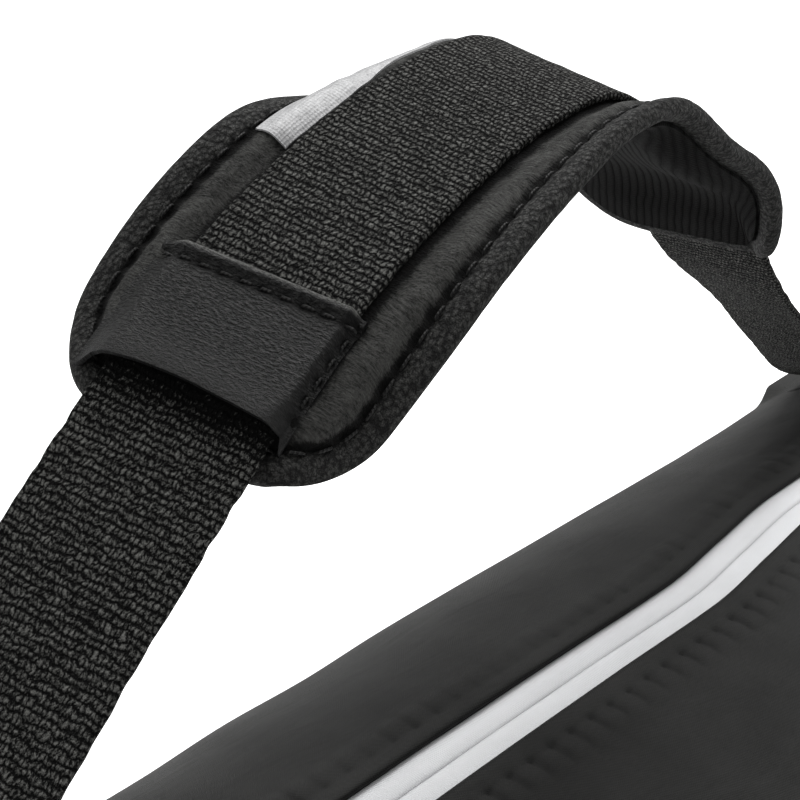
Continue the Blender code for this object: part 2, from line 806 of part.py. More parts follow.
def add_wheel(suffix, side):
    """A hub with a boss towards the housing and a recess for the axle's head, and the tyre on it."""
    centre = (WHEEL_X, 0, WHEEL_Z)
    hub_radius = WHEEL_RADIUS - TYRE_THICK
    bore = AXLE_RADIUS + AXLE_PLAY
    recess_radius = AXLE_HEAD_RADIUS + 3 * GAP
    inner, outer = WHEEL_INNER_Y + 0.002, WHEEL_OUTER_Y - 0.002
    seat = WHEEL_OUTER_Y - HUB_RECESS
    hub = [
        (bore, BLOCK_HALF + GAP),
        (HUB_BOSS_RADIUS, BLOCK_HALF + GAP),
        (HUB_BOSS_RADIUS, inner),
        (hub_radius, inner),
        (hub_radius, outer),
        (recess_radius, outer),
        (recess_radius, seat),
        (bore, seat),
    ]
    shoulder = 0.003
    tyre = [
        (hub_radius + GAP, WHEEL_INNER_Y),
        (WHEEL_RADIUS - shoulder, WHEEL_INNER_Y),
        (WHEEL_RADIUS, WHEEL_INNER_Y + shoulder),
        (WHEEL_RADIUS, WHEEL_OUTER_Y - shoulder),
        (WHEEL_RADIUS - shoulder, WHEEL_OUTER_Y),
        (hub_radius + GAP, WHEEL_OUTER_Y),
    ]
    for name, profile, finish in (("wheel_hub_", hub, "hub_plastic"), ("wheel_tyre_", tyre, "tyre_rubber")):
        if side < 0:
            profile = [(radius, -y) for radius, y in profile]
        else:
            profile = profile[::-1]
        turned(name + suffix, profile, finish, 32 if finish == "tyre_rubber" else 24, centre)


def add_axle():
    seat = WHEEL_OUTER_Y - HUB_RECESS + GAP
    half = [
        (AXLE_RADIUS, 0.0),
        (AXLE_RADIUS, seat),
        (AXLE_HEAD_RADIUS, seat),
        (AXLE_HEAD_RADIUS, seat + AXLE_HEAD_THICK),
        (0.0, seat + AXLE_HEAD_THICK),
    ]
    profile = half[:0:-1] + [(radius, -y) for radius, y in half[1:]]
    turned("wheel_axle", profile, "steel", 24, (WHEEL_X, 0, WHEEL_Z), ring=False)


def handle_seat(z):
    """The place along X of a strap that lies on the nose's end face at this height."""
    middle = BAG_HEIGHT / 2
    share = abs(z - middle) / (middle - END_ROUND)
    return HALF_LENGTH + end_bulge(min(share, 1.0)) + GAP + HANDLE_THICK / 2


def handle_path():
    """(x, z) down the haul handle's middle: its upper foot, the loop and its lower foot."""
    middle = BAG_HEIGHT / 2
    for z in np.linspace(middle + HANDLE_SPAN / 2 + HANDLE_FOOT, middle + HANDLE_SPAN / 2, 3)[:-1]:
        yield handle_seat(z), z
    crown = HALF_LENGTH + HANDLE_REACH - HANDLE_THICK / 2
    for share in np.linspace(0.0, 1.0, 19):
        z = middle + HANDLE_SPAN * (0.5 - share)
        rise = math.sin(math.pi * share) ** 1.5
        yield handle_seat(z) + (crown - handle_seat(z)) * rise, z
    for z in np.linspace(middle - HANDLE_SPAN / 2, middle - HANDLE_SPAN / 2 - HANDLE_FOOT, 3)[1:]:
        yield handle_seat(z), z


def add_haul_handle():
    """A webbing loop that stands out from the nose end, with its two feet sewn flat to it."""
    path = list(handle_path())
    side = Vector((0, HANDLE_WIDTH / 2, 0))
    rings = []
    for i, (x, z) in enumerate(path):
        before = path[max(i - 1, 0)]
        after = path[min(i + 1, len(path) - 1)]
        ahead = Vector((after[0] - before[0], 0, after[1] - before[1])).normalized()
        out = Vector((-ahead.z, 0, ahead.x)) * (HANDLE_THICK / 2)
        place = Vector((x, 0, z))
        rings.append([place - side - out, place + side - out, place + side + out, place - side + out])
    loft("haul_handle", rings, "black_webbing")


def main():
    add_side_panel("side_panel_near", -1)
    add_side_panel("side_panel_far", 1)
    add_base_panel()
    add_end_panel("end_panel_nose", 1)
    wheel_end = add_end_panel("end_panel_wheels", -1)
    corner = cutter(
        "housing_corner",
        (-HALF_LENGTH - 0.05, -BAG_WIDTH, -0.05),
        (-SEAM_X + 0.01, BAG_WIDTH, HOUSING_HEIGHT),
    )
    cut(wheel_end, corner)
    add_zip()
    add_pad()
    add_webbing()
    add_patch("strap_anchor_near", NEAR_ANCHOR_X, NEAR_ANCHOR_ANGLE, -1)
    add_patch("strap_anchor_far", FAR_ANCHOR_X, FAR_ANCHOR_ANGLE, 1)
    add_housing()
    add_axle()
    add_wheel("near", -1)
    add_wheel("far", 1)
    add_haul_handle()


clear_scene()
PARTS = collection("wheeled_snowboard_bag")
CUTTERS = collection("cutters")
CENTRE = bpy.data.objects.new("bag_centre", None)
CENTRE.location = (CENTRE_SHIFT, 0, 0)
PARTS.objects.link(CENTRE)
SPINE = strap_spine()
WEBBING_LIFT = CORE_TOP + PLY_GAP + WEBBING_THICK / 2
main()
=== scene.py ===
"""A wheeled snowboard bag with a padded shoulder strap, dressed over its solid model.

Every shape is a surface of two parameters, worked out as whole arrays in metres. X runs along the bag, Y
across it and away from the photo's camera, and Z is up. Cloth carries a UV map in metres, so that weave
and grain keep their size on every piece. The zip and the strap past the pad follow the photo more
closely here than in the solid model.
"""

import math

import bpy
import numpy as np
from mathutils import Matrix, Vector


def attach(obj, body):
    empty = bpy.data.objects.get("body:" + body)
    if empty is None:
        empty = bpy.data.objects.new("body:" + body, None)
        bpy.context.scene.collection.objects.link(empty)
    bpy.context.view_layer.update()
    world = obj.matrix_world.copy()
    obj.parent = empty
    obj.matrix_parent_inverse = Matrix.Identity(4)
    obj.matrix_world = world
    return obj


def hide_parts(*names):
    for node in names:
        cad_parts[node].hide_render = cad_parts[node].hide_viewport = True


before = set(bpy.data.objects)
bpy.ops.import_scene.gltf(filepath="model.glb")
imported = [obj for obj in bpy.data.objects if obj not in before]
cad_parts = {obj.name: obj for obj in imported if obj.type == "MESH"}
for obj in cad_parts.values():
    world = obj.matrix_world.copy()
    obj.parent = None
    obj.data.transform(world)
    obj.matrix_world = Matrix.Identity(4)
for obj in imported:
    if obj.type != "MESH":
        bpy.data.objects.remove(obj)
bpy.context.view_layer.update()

# Sizes in metres and degrees, as in the solid model
BAG_LENGTH = 1.65
BAG_WIDTH = 0.21
BAG_HEIGHT = 0.33
DOME_HEIGHT = 0.085
BASE_RADIUS = 0.03
BASE_SKIRT = 0.004
END_ROUND = 0.07
END_BULGE = 0.006
END_SKIRT = 0.006
SIDE_TUCK = 0.006
END_TAPER = 0.05
CREST_DROP = 0.010
GAP = 0.0003
PLY_GAP = 0.0006
ZIP_WIDTH = 0.0172
ZIP_MARGIN = 0.135
WEBBING_WIDTH = 0.038
WEBBING_THICK = 0.0018
NEAR_ANCHOR_X = -0.300
NEAR_ANCHOR_ANGLE = 25.0
FAR_ANCHOR_X = 0.262
FAR_ANCHOR_ANGLE = 32.0
NEAR_STRAIGHT = 0.095
FAR_STRAIGHT = 0.115
SEWN_LENGTH = 0.042
PATCH_LENGTH = 0.056
PATCH_WIDTH = 0.046
PATCH_THICK = 0.002
PATCH_CORNER = 0.010
PAD_NEAR_X = -0.1089
PAD_NEAR_Y = 0.0084
PAD_RISE = 0.1077
STRAP_YAW = 5.4
STRAP_LEAN = 1.8
PAD_LENGTH = 0.248
PAD_WIDTH = 0.0724
PAD_CORNER = 0.0237
PAD_FLAT = 0.020
PAD_BEND = 0.005
CORE_TOP = 0.0016
CORE_BOTTOM = -0.0026
LINING_THICK = 0.0008
BINDING_WIDTH = 0.0064
BINDING_THICK = 0.0046
STRIP_SETBACK = 0.069
HANDLE_REACH = 0.045
HANDLE_WIDTH = 0.034
HANDLE_THICK = 0.0025
HANDLE_SPAN = 0.120
HANDLE_FOOT = 0.022
WHEEL_REACH = 0.015
WHEEL_RADIUS = 0.036
WHEEL_CLEAR = 0.002
HOUSING_HEIGHT = 0.088

HEADINGS = (
    # share of the pad's length, rise of the strap there
    (-1.00, 43.7),
    (-0.285, 41.7),
    (0.00, 38.7),
    (0.18, 26.6),
    (0.356, 15.4),
    (0.50, 2.8),
    (0.641, -35.3),
    (0.783, -25.0),
    (0.949, -50.0),
    (1.19, -36.0),
    (1.48, -40.5),
    (1.90, -38.0),
)
CURLS = (
    # share, far border's curl, near border's curl
    (0.00, 23.8, 53.8),
    (0.25, -20.0, -4.8),
    (0.40, 42.0, -25.0),
    (0.47, 84.0, -33.0),
    (0.56, 84.0, -34.0),
    (0.75, 25.8, -25.0),
    (1.00, -5.3, 59.0),
)
TWISTS = (
    # share, twist
    (-0.60, 6.6),
    (0.00, 14.1),
    (0.50, 11.9),
    (1.00, -1.7),
    (1.22, 6.0),
    (1.50, 11.0),
)

ZIP_WANDER = (
    # place along the bag, how far the zip wanders across it there
    (-0.300, 0.0),
    (-0.045, -0.0008),
    (0.020, -0.0018),
    (0.066, -0.0030),
    (0.100, 0.0),
    (0.137, 0.0033),
    (0.165, 0.0034),
    (0.260, 0.0006),
    (0.360, 0.0),
)
WANDER_FROM = 0.322
WANDER_TO = 0.329

HALF_LENGTH = BAG_LENGTH / 2
HALF_WIDTH = BAG_WIDTH / 2
ROUND_X = HALF_LENGTH - END_ROUND
SEAM_X = ROUND_X - END_SKIRT
DOME_BASE = BAG_HEIGHT - DOME_HEIGHT
BASE_SEAM = BASE_RADIUS + BASE_SKIRT
ZIP_HALF = HALF_LENGTH - ZIP_MARGIN
SLOT_END = ZIP_HALF + GAP
WEBBING_LIFT = CORE_TOP + PLY_GAP + WEBBING_THICK / 2
CENTRE_SHIFT = (WHEEL_REACH - HANDLE_REACH) / 2
WHEEL_X = -HALF_LENGTH - WHEEL_REACH + WHEEL_RADIUS + CENTRE_SHIFT
WHEEL_Z = WHEEL_RADIUS + WHEEL_CLEAR

# How far a degree of the dome reaches across the bag at its crest
CREST_DEGREE = math.radians(1.0) * HALF_WIDTH

# The walls of the panels, and the step between places on the strap's line
CLOTH_WALL = 0.0016
BASE_WALL = 0.002
SPINE_STEP = 0.001

# The step that closes the ring of a band's section
BAND_CLOSING = 0.0004

# How far past the solid's far anchor the strap lands on the bag, and how gently
FAR_LANDING = 0.018
FAR_SOFTNESS = 0.35

# The sewn roll past the far anchor
ROLL_START = 0.008
ROLL_LENGTH = 0.052
ROLL_HEIGHT = 0.0048
ROLL_WIDTH = 0.0052
ROLL_ANGLE = 51.0

# The noise that shapes are pushed about by: how many numbers its grid has, and the cell that 0 is in
NOISE_CELLS = 512
NOISE_START = 200.0

# How far apart the webbing's ribs, the beads in a rib and the lining's ribs are
WEBBING_RIB = 0.00175
WEBBING_BEAD = 0.00115
LINING_RIB = 0.0023

# Stitch rows: how far in from the edge they run, and how far apart the stitches are
ROW_INSET = 0.0061
ROW_PITCH = 0.0060
ZIP_ROW = 0.0062
ZIP_PITCH = 0.0080
ANCHOR_PITCH = 0.0042

# The share of blue in the greys of the black pieces
WARMTH = 0.94

# The reflective tape's edges across the pad, and how far the near one drifts out along it
STRIP_NEAR = 0.0206
STRIP_FAR = 0.0291
STRIP_DRIFT = 0.0016

# How far the suede and the lining reach in under the rim, and the step between places round the rim
RIM_TUCK = 0.0008
RIM_STEP = 0.0007

# The leather sleeves' edges along and across the pad, how far below the hem its row runs, where the row
# down the near edge lies, and how far apart their stitches are
SLEEVE_MOUTH = 0.0106
SLEEVE_TOP = 0.0375
SLEEVE_NEAR = -0.0208
SLEEVE_FAR = 0.0247
SLEEVE_ROW = 0.0033
SLEEVE_SIDE_ROW = -0.0200
SLEEVE_PITCH = 0.0046

# The heights of the leather beside the webbing and over it, and of the patches' top
SLEEVE_FLOOR = CORE_TOP + 0.0012
SLEEVE_CEILING = CORE_TOP + PLY_GAP + WEBBING_THICK + 0.0016
PATCH_TOP = GAP + PATCH_THICK + 2 * GAP

# The photo's camera, in pixels and in millimetres, and the strength of the surrounding light
PHOTO_FOCUS = 1593.5
PHOTO_WIDTH = 800
SENSOR_WIDTH = 36.0
WORLD_LIGHT = 0.36


# Shader arithmetic

def node_method(operation, swapped=False):
    """A method that puts a number, and any other that it is given, through a Math node."""

    def method(self, *others):
        values = (*others, self) if swapped else (self, *others)
        return self.finish.math(operation, *values)

    return method


class Number:
    """A number that varies over a surface: a socket whose arithmetic adds Math nodes."""

    __add__ = node_method("ADD")
    __radd__ = node_method("ADD", True)
    __sub__ = node_method("SUBTRACT")
    __rsub__ = node_method("SUBTRACT", True)
    __mul__ = node_method("MULTIPLY")
    __truediv__ = node_method("DIVIDE")
    __pow__ = node_method("POWER")
    __abs__ = node_method("ABSOLUTE")
    sin = node_method("SINE")
    floor = node_method("FLOOR")
    fraction = node_method("FRACT")
    at_least = node_method("MAXIMUM")

    def __init__(self, finish, socket):
        self.finish = finish
        self.socket = socket

    def wave(self, pitch):
        """A sine that crosses 0 at every pitch."""
        return (self / pitch * math.pi).sin()

    def ramp(self, start, end):
        """0 at start, 1 at end, and a smooth step between them."""
        settings = {"interpolation_type": "SMOOTHSTEP"}
        node = self.finish.add("ShaderNodeMapRange", settings, {0: self, 1: start, 2: end})
        return Number(self.finish, node.outputs[0])


def socket_name(word):
    """The shader's name for a socket written as a word, such as base_color."""
    return word.replace("_", " ").title().replace("Ior", "IOR")


class Finish:
    """A material being made. Its shader is a Principled BSDF, whose fixed sockets are given by name."""

    def __init__(self, name, **fixed):
        self.material = bpy.data.materials.new(name)
        self.material.use_nodes = True
        self.tree = self.material.node_tree
        self.shader = self.tree.nodes["Principled BSDF"]
        for socket, value in fixed.items():
            self.shader.inputs[socket_name(socket)].default_value = value

    def add(self, kind, settings=None, inputs=None):
        """A node of this kind, with its settings made first and then its sockets' values or links."""
        node = self.tree.nodes.new(kind)
        for key, value in (settings or {}).items():
            setattr(node, key, value)
        for key, value in (inputs or {}).items():
            self.feed(node.inputs[key], value)
        return node

    def feed(self, socket, value):
        if isinstance(value, Number):
            value = value.socket
        if isinstance(value, bpy.types.NodeSocket):
            self.tree.links.new(value, socket)
        else:
            socket.default_value = value

    def math(self, operation, *values):
        node = self.add("ShaderNodeMath", {"operation": operation}, dict(enumerate(values)))
        return Number(self, node.outputs[0])

    def split(self, node, output):
        """The three numbers of a node's vector."""
        parts = self.add("ShaderNodeSeparateXYZ", None, {0: node.outputs[output]})
        return tuple(Number(self, socket) for socket in parts.outputs)

    def along_and_across(self):
        """The cloth's own coordinates, in metres."""
        return self.split(self.add("ShaderNodeUVMap", {"uv_map": "cloth"}), 0)[:2]

    def place(self):
        """The place on the object, in metres: x, y and z."""
        return self.split(self.add("ShaderNodeTexCoord"), "Object")

    def painted_shading(self):
        """Painted shade and highlight as the mesh gives them: 1 for painted shade in a groove, under a fold
        or underneath, and below 0 for a painted highlight on an edge."""
        node = self.add("ShaderNodeAttribute", {"attribute_name": "painted_shading"})
        return Number(self, node.outputs["Fac"])

    def vector(self, x, y, z=0.0):
        return self.add("ShaderNodeCombineXYZ", None, {0: x, 1: y, 2: z}).outputs[0]

    def noise(self, place, scale, detail=2.0, roughness=0.5, distortion=0.0):
        """Cloudy noise from 0 to 1. scale is in features a metre."""
        inputs = {"Vector": self.vector(*place), "Scale": scale, "Detail": detail}
        inputs.update({"Roughness": roughness, "Distortion": distortion})
        return Number(self, self.add("ShaderNodeTexNoise", None, inputs).outputs[0])

    def cells(self, place, scale):
        """The distance in a pattern of cells, scale of them a metre."""
        node = self.add("ShaderNodeTexVoronoi", None, {"Vector": self.vector(*place), "Scale": scale})
        return Number(self, node.outputs["Distance"])

    def shade(self, amount, dark, light):
        """A colour between two, by an amount from 0 to 1."""
        settings = {"data_type": "RGBA", "clamp_factor": True}
        inputs = {0: amount, 6: colour(dark), 7: colour(light)}
        return self.add("ShaderNodeMix", settings, inputs).outputs[2]

    def relief(self, height):
        """Feeds Normal from a height in metres."""
        bump = self.add("ShaderNodeBump", None, {"Strength": 1.0, "Distance": 1.0, "Height": height})
        self.tree.links.new(bump.outputs[0], self.shader.inputs["Normal"])

    def toned(self, amount, dark, light, roughness):
        """The material, with a colour between two by an amount from 0 to 1, and a roughness."""
        self.feed(self.shader.inputs["Base Color"], self.shade(amount, dark, light))
        self.feed(self.shader.inputs["Roughness"], roughness)
        return self.material


def colour(value):
    """A faintly warm grey from one number, or a colour from three. A socket is left as it is."""
    if isinstance(value, (int, float)):
        return (value, value, value * WARMTH, 1.0)
    return (*value, 1.0) if isinstance(value, tuple) else value


# Finishes

def webbing_finish():
    """Ribbed webbing: ribs across it 1.75 mm apart, each a row of round beads of fuzzy yarn 1.15 mm apart,
    set half a bead on from the row before and pushed about, with painted shade between the rows, a painted
    highlight on the bead tops and painted shade where it goes in under the sleeves."""
    made = Finish("black_webbing", specular_ior_level=0.10)
    u, v = made.along_and_across()
    wander = made.noise((u, v), 330.0, 3.0, 0.6)
    wander_too = made.noise((v, u, 3.0), 330.0, 3.0, 0.6)
    a = u / WEBBING_RIB + (wander - 0.5) * 1.7
    row = a.floor()
    b = v / WEBBING_BEAD + row * 0.5 + (wander_too - 0.5) * 2.4
    rib = a.fraction().wave(1.0) ** 0.8
    bead = b.fraction().wave(1.0) ** 0.7
    size = made.noise((row * 0.37, b.floor() * 0.41, 5.0), 3.1, 1.0)
    fibre = made.noise((u * 0.7, v, 7.0), 3300.0, 3.0, 0.7)
    loose = made.noise((u, v, 9.0), 1500.0, 3.0, 0.65)
    height = rib * (bead * 0.7 + 0.3) * (0.35 + size * 1.2)
    made.relief(height * 0.00080 + fibre * 0.00028 + loose * 0.00040)
    # The colour follows the beads' height, painted shade between the rows and a painted highlight on the bead
    # tops, and takes painted shade from the mesh where the webbing goes in under the sleeves.
    light = height * 1.1 + (fibre - 0.5) * 2.4 + (loose - 0.5) * 2.6 - made.painted_shading() * 0.9
    light = light.ramp(0.25, 1.75)
    return made.toned(light, 0.0003, 0.150, 0.95 - light * 0.30)


def rim_finish():
    """Bound edge: crumpled grain about 1 mm across, drawn out along the edge, with loose fibres."""
    made = Finish("rim_cloth", specular_ior_level=0.22)
    u, v = made.along_and_across()
    bent = made.noise((u, v), 600.0, 3.0, 0.6)
    grain = made.cells((u * 0.8 + bent * 0.0009, v + bent * 0.0009), 1100.0)
    crumple = made.noise((u, v, 4.0), 900.0, 4.0, 0.65)
    fibre = made.noise((u, v, 7.0), 3300.0, 2.0, 0.6)
    height = (1.0 - grain * 1.2).at_least(0.0) * 0.6 + crumple * 0.7
    made.relief(height * 0.00070 + fibre * 0.00016)
    # Painted shade from the mesh on the rim's inner side against the suede, deeper at each stitch.
    light = (height + (fibre - 0.5) * 1.4 - made.painted_shading() * 0.9).ramp(0.30, 1.35)
    return made.toned(light, 0.0010, 0.060, 0.85 - light * 0.30)


def suede_finish():
    """Napped suede: short hairs combed across the border, in soft lighter and darker patches."""
    made = Finish("pad_suede", sheen_weight=0.02, sheen_roughness=0.4, specular_ior_level=0.15)
    u, v = made.along_and_across()
    swirl = made.noise((u, v, 2.0), 90.0, 2.0)
    nap = made.noise((u * 2.2 + swirl * 0.012, v * 0.8 + swirl * 0.006), 800.0, 4.0, 0.7)
    tuft = made.noise((u * 1.4 + swirl * 0.01, v * 0.9, 6.0), 330.0, 3.0, 0.6)
    grain = made.noise((u, v, 9.0), 2600.0, 2.0)
    patch = made.noise((u, v, 4.0), 130.0, 2.0)
    made.relief(nap * 0.00080 + tuft * 0.00090 + grain * 0.00014)
    # Painted shade from the mesh in the stitch row and against the webbing's edges.
    light = nap + patch * 0.45 + tuft * 0.4 + (grain - 0.5) * 0.4 - made.painted_shading() * 0.9
    light = light.ramp(0.55, 1.25)
    return made.toned(light, 0.0026, 0.058, 0.95 - light * 0.3)


def leather_finish():
    """Pebbled leather: short creases drawn out across the strap, which fade towards the mouth of the sleeve,
    with fine pores, painted shade in the creases, the stitch grooves and underneath, a painted highlight on
    the pebbles and a painted highlight along the upper edge."""
    made = Finish("sleeve_leather", specular_ior_level=0.27)
    u, v = made.along_and_across()
    bent = made.noise((u, v, 1.0), 260.0, 3.0, 0.6)
    grain = made.noise((u * 2.1 + bent * 0.0016, v * 0.8 + bent * 0.0008), 880.0, 3.0, 0.6)
    fine = made.noise((u * 1.6, v, 3.0), 2300.0, 3.0, 0.65)
    depth = u.ramp(0.009, 0.022) * 0.85 + 0.15
    pebble = (grain - 0.5) * depth
    made.relief(pebble * 0.0034 + fine * 0.00055)
    # The mesh gives painted shade in the stitch grooves and underneath, and the colour follows the pebbles:
    # painted shade in the creases and a painted highlight on the pebbles.
    painted_shading = made.painted_shading()
    light = (pebble * 5.0 + 0.42 + (fine - 0.5) * 1.8 - painted_shading.at_least(0.0) * 1.2).ramp(0.0, 1.1)
    # A painted highlight along the hem's upper edge, where the mesh gives a value below 0, broken up by the
    # pores.
    hem_highlight = (painted_shading * -1.0).at_least(0.0) * fine.ramp(0.2, 0.6)
    return made.toned(hem_highlight, made.shade(light, 0.0003, 0.0115), 0.13, 0.64 - light * 0.22)


def lining_finish():
    """Ribbed knit: ribs 2.3 mm apart that run at a slant along the pad, dark between them."""
    made = Finish("rib_lining", specular_ior_level=0.06)
    u, v = made.along_and_across()
    bent = made.noise((u, v), 120.0, 2.0)
    slant = v * 0.96 - u * 0.28
    rib = abs((slant / LINING_RIB + bent * 0.5).wave(1.0)) ** 0.7
    knit = abs(u.wave(0.0011))
    fibre = made.noise((u * 0.6, v, 7.0), 2200.0, 3.0, 0.65)
    made.relief(rib * 0.00035 + knit * rib * 0.00008 + fibre * 0.00020)
    light = (rib * 0.8 + (fibre - 0.5) * 1.1).ramp(0.2, 1.1)
    return made.toned(light, 0.0010, 0.0062, 0.95 - light * 0.1)


def bag_finish(name, dark, light_grey, thread, depth):
    """Close plain weave, with faint cloudy shading where the cloth is stretched or slack."""
    made = Finish(name, sheen_weight=0.02, sheen_roughness=0.5, specular_ior_level=0.22)
    u, v = made.along_and_across()
    weave = u.wave(thread) * v.wave(thread)
    slub = made.noise((u * 0.3, v, 2.0), 1400.0, 2.0)
    cloud = made.noise((u, v, 4.0), 22.0, 4.0, 0.55)
    crease = made.noise((u * 0.6, v * 1.3, 8.0), 60.0, 3.0, 0.5, 0.6)
    made.relief(weave * depth + slub * 0.00003 + crease * 0.0010)
    # Painted shade from the mesh beside the zip: in the stitch holes and gathers and at the folded edge.
    light = (cloud * 0.8 + (slub - 0.5) * 0.25 + weave * 0.08 - made.painted_shading() * 0.9).ramp(0.0, 0.75)
    return made.toned(light, dark, light_grey, 0.78 - light * 0.14)


def zip_finish():
    """Light grey tape: fine ribs across it, a soft joint line along its middle and a little wear."""
    made = Finish("grey_zip_tape", sheen_weight=0.1, sheen_roughness=0.5, specular_ior_level=0.4)
    u, v = made.along_and_across()
    rib = u.wave(0.00031)
    joint = 1.0 - abs(v).ramp(0.0, 0.0012)
    soil = made.noise((u, v * 2.0), 60.0, 4.0, 0.6)
    fibre = made.noise((u, v, 5.0), 2500.0, 2.0)
    made.relief(rib * 0.00004 + fibre * 0.00003)
    light = 0.94 + rib * 0.03 + (soil - 0.5) * 0.16 + (fibre - 0.5) * 0.08
    # Painted shade from the mesh along each tape's outer edge, under the folded cloth.
    light = (light - joint * 0.20 - made.painted_shading() * 0.7).at_least(0.0)
    return made.toned(light, (0.10, 0.10, 0.105), (0.79, 0.795, 0.81), 0.6)


def reflective_finish():
    """Silver-grey reflective tape: beads too fine to see, a faint slanted weave and scuffs."""
    made = Finish("reflective_tape", specular_ior_level=0.5)
    u, v = made.along_and_across()
    slant = (u + v).wave(0.0009) * (u - v).wave(0.0009)
    scuff = made.noise((u, v), 420.0, 4.0, 0.7)
    fine = made.noise((u, v, 3.0), 2600.0, 2.0)
    made.relief(slant * 0.00004 + scuff * 0.00016 + fine * 0.00010)
    light = (scuff * 0.7 + fine * 0.6 + slant * 0.05).ramp(0.30, 0.95)
    return made.toned(light, (0.20, 0.20, 0.203), (0.43, 0.43, 0.435), 0.5 - light * 0.12)


def thread_finish():
    """Waxed thread: two plies twisted together, with fluff that catches the light."""
    made = Finish("black_thread", specular_ior_level=0.25)
    u, v = made.along_and_across()
    ply = (u / 0.0009 + v).wave(0.5)
    fluff = made.noise((u * 1000.0, v * 3.0), 4.0, 3.0, 0.6)
    made.relief(ply * 0.00006 + fluff * 0.00005)
    light = (fluff + ply * 0.2).ramp(0.50, 0.85)
    return made.toned(light, 0.0010, 0.026, 0.6)


def moulded_finish(name, dark, light_grey, roughness):
    """Moulded plastic: fine spark grain and faint scuffs."""
    made = Finish(name, specular_ior_level=0.5)
    where = made.place()
    spark = made.noise(where, 1500.0, 2.0)
    scuff = made.noise(where, 45.0, 5.0, 0.65)
    made.relief(spark * 0.00005)
    light = (scuff * 0.8 + spark * 0.2).ramp(0.3, 0.75)
    return made.toned(light, dark, light_grey, roughness + light * 0.14)


def tyre_finish():
    """Rubber: shallow tread grooves across the rolling face, every 10 degrees, and grey dust on it."""
    made = Finish("tyre_rubber", specular_ior_level=0.35)
    x, y, z = made.place()
    turn = made.math("ARCTAN2", z - WHEEL_Z, x - WHEEL_X) / math.radians(10.0)
    reach = made.math("SQRT", (x - WHEEL_X) * (x - WHEEL_X) + (z - WHEEL_Z) * (z - WHEEL_Z))
    tread = reach.ramp(WHEEL_RADIUS - 0.0025, WHEEL_RADIUS - 0.0008)
    groove = abs((turn.fraction() - 0.5) * 2.0).ramp(0.78, 0.95) * tread
    dust = made.noise((x, y, z), 120.0, 5.0, 0.6)
    made.relief(dust * 0.0001 - groove * 0.0012)
    light = (dust * 0.9 + tread * 0.25 - groove * 0.5).ramp(0.3, 0.9)
    return made.toned(light, 0.006, 0.040, 0.88 - light * 0.1)


def metal_finish(name, dark, light_grey, roughness):
    """Turned or cast metal: fine scratches and a patchy polish."""
    made = Finish(name, metallic=1.0)
    where = made.place()
    x, y, z = where
    scratch = made.noise((x * 0.4, y, z), 1600.0, 3.0, 0.6)
    patch = made.noise(where, 160.0, 3.0)
    made.relief(scratch * 0.00002)
    light = (patch * 0.7 + scratch * 0.3).ramp(0.25, 0.75)
    return made.toned(light, dark, light_grey, roughness + scratch * 0.12)


def floor_finish():
    """A white studio floor that glows a little, so that its shadows stay pale."""
    white, glow = (0.90, 0.90, 0.90, 1.0), (1.0, 1.0, 1.0, 1.0)
    looks = {"base_color": white, "roughness": 0.9, "specular_ior_level": 0.1}
    return Finish("studio_floor", emission_color=glow, emission_strength=0.62, **looks).material


# Meshes

def quads(rows, columns, wrap_rows=False, wrap_columns=False):
    """The rows and columns of a grid's face corners. They run past the last one where the grid wraps."""
    i, j = np.meshgrid(
        np.arange(rows if wrap_rows else rows - 1),
        np.arange(columns if wrap_columns else columns - 1),
        indexing="ij",
    )
    i, j = i.ravel(), j.ravel()
    return np.stack([i, i, i + 1, i + 1], -1), np.stack([j, j + 1, j + 1, j], -1)


def inside_out(points, faces):
    """Whether a closed piece's faces look inwards, by the sign of its volume."""
    a, b, c, d = (points[faces[:, k]] - points[0] for k in range(4))
    return (np.cross(a, b) * c).sum() + (np.cross(a, c) * d).sum() < 0


def placed(name, mesh, finish):
    """The mesh's object in the scene, smooth and with its finish."""
    mesh.shade_smooth()
    mesh.materials.append(finish)
    made = bpy.data.objects.new(name, mesh)
    bpy.context.scene.collection.objects.link(made)
    return made


def surface(
    name, points, uv, finish, wrap_rows=False, wrap_columns=False, caps=False, flip=False, painted_shading=None
):
    """A piece from a grid of points. uv has one more row or column where the grid wraps. caps joins the upper
    half of the first and last ring to its lower half, quad by quad. A piece that wraps round its columns is
    turned to face outwards by the sign of its volume, and flip turns any other. The last argument gives each
    point's painted shade, in a groove, under a fold or underneath, and below 0 its painted highlight, for its
    finish."""
    rows, columns = points.shape[:2]
    i, j = quads(rows, columns, wrap_rows, wrap_columns)
    faces = (i % rows) * columns + j % columns
    corners = uv[i, j]
    flat = points.reshape(-1, 3)
    if caps:
        k = np.arange(columns // 2 - 1)
        strip = np.stack([k + 1, k, columns - 1 - k, columns - 2 - k], -1)
        faces = np.concatenate([faces, strip, (rows - 1) * columns + strip[:, ::-1]])
        corners = np.concatenate([corners, uv[0, strip], uv[rows - 1, strip[:, ::-1]]])
    if wrap_columns:
        flip = inside_out(flat, faces)
    if flip:
        faces, corners = faces[:, ::-1], corners[:, ::-1]
    mesh = bpy.data.meshes.new(name)
    mesh.from_pydata(flat.tolist(), [], faces.tolist())
    layer = mesh.uv_layers.new(name="cloth")
    layer.data.foreach_set("uv", np.ascontiguousarray(corners, np.float32).ravel())
    if painted_shading is not None:
        depth = mesh.attributes.new("painted_shading", "FLOAT", "POINT")
        depth.data.foreach_set("value", np.ascontiguousarray(painted_shading, np.float32).ravel())
    return placed(name, mesh, finish)


def walled(piece, thickness):
    """Gives an open sheet a wall on its inner side."""
    step = piece.modifiers.new("wall", "SOLIDIFY")
    step.thickness = thickness
    step.offset = -1.0


def wear(piece, node):
    """The piece stands for the CAD node and moves with the bag."""
    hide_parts(node)
    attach(piece, "bag")
    return piece


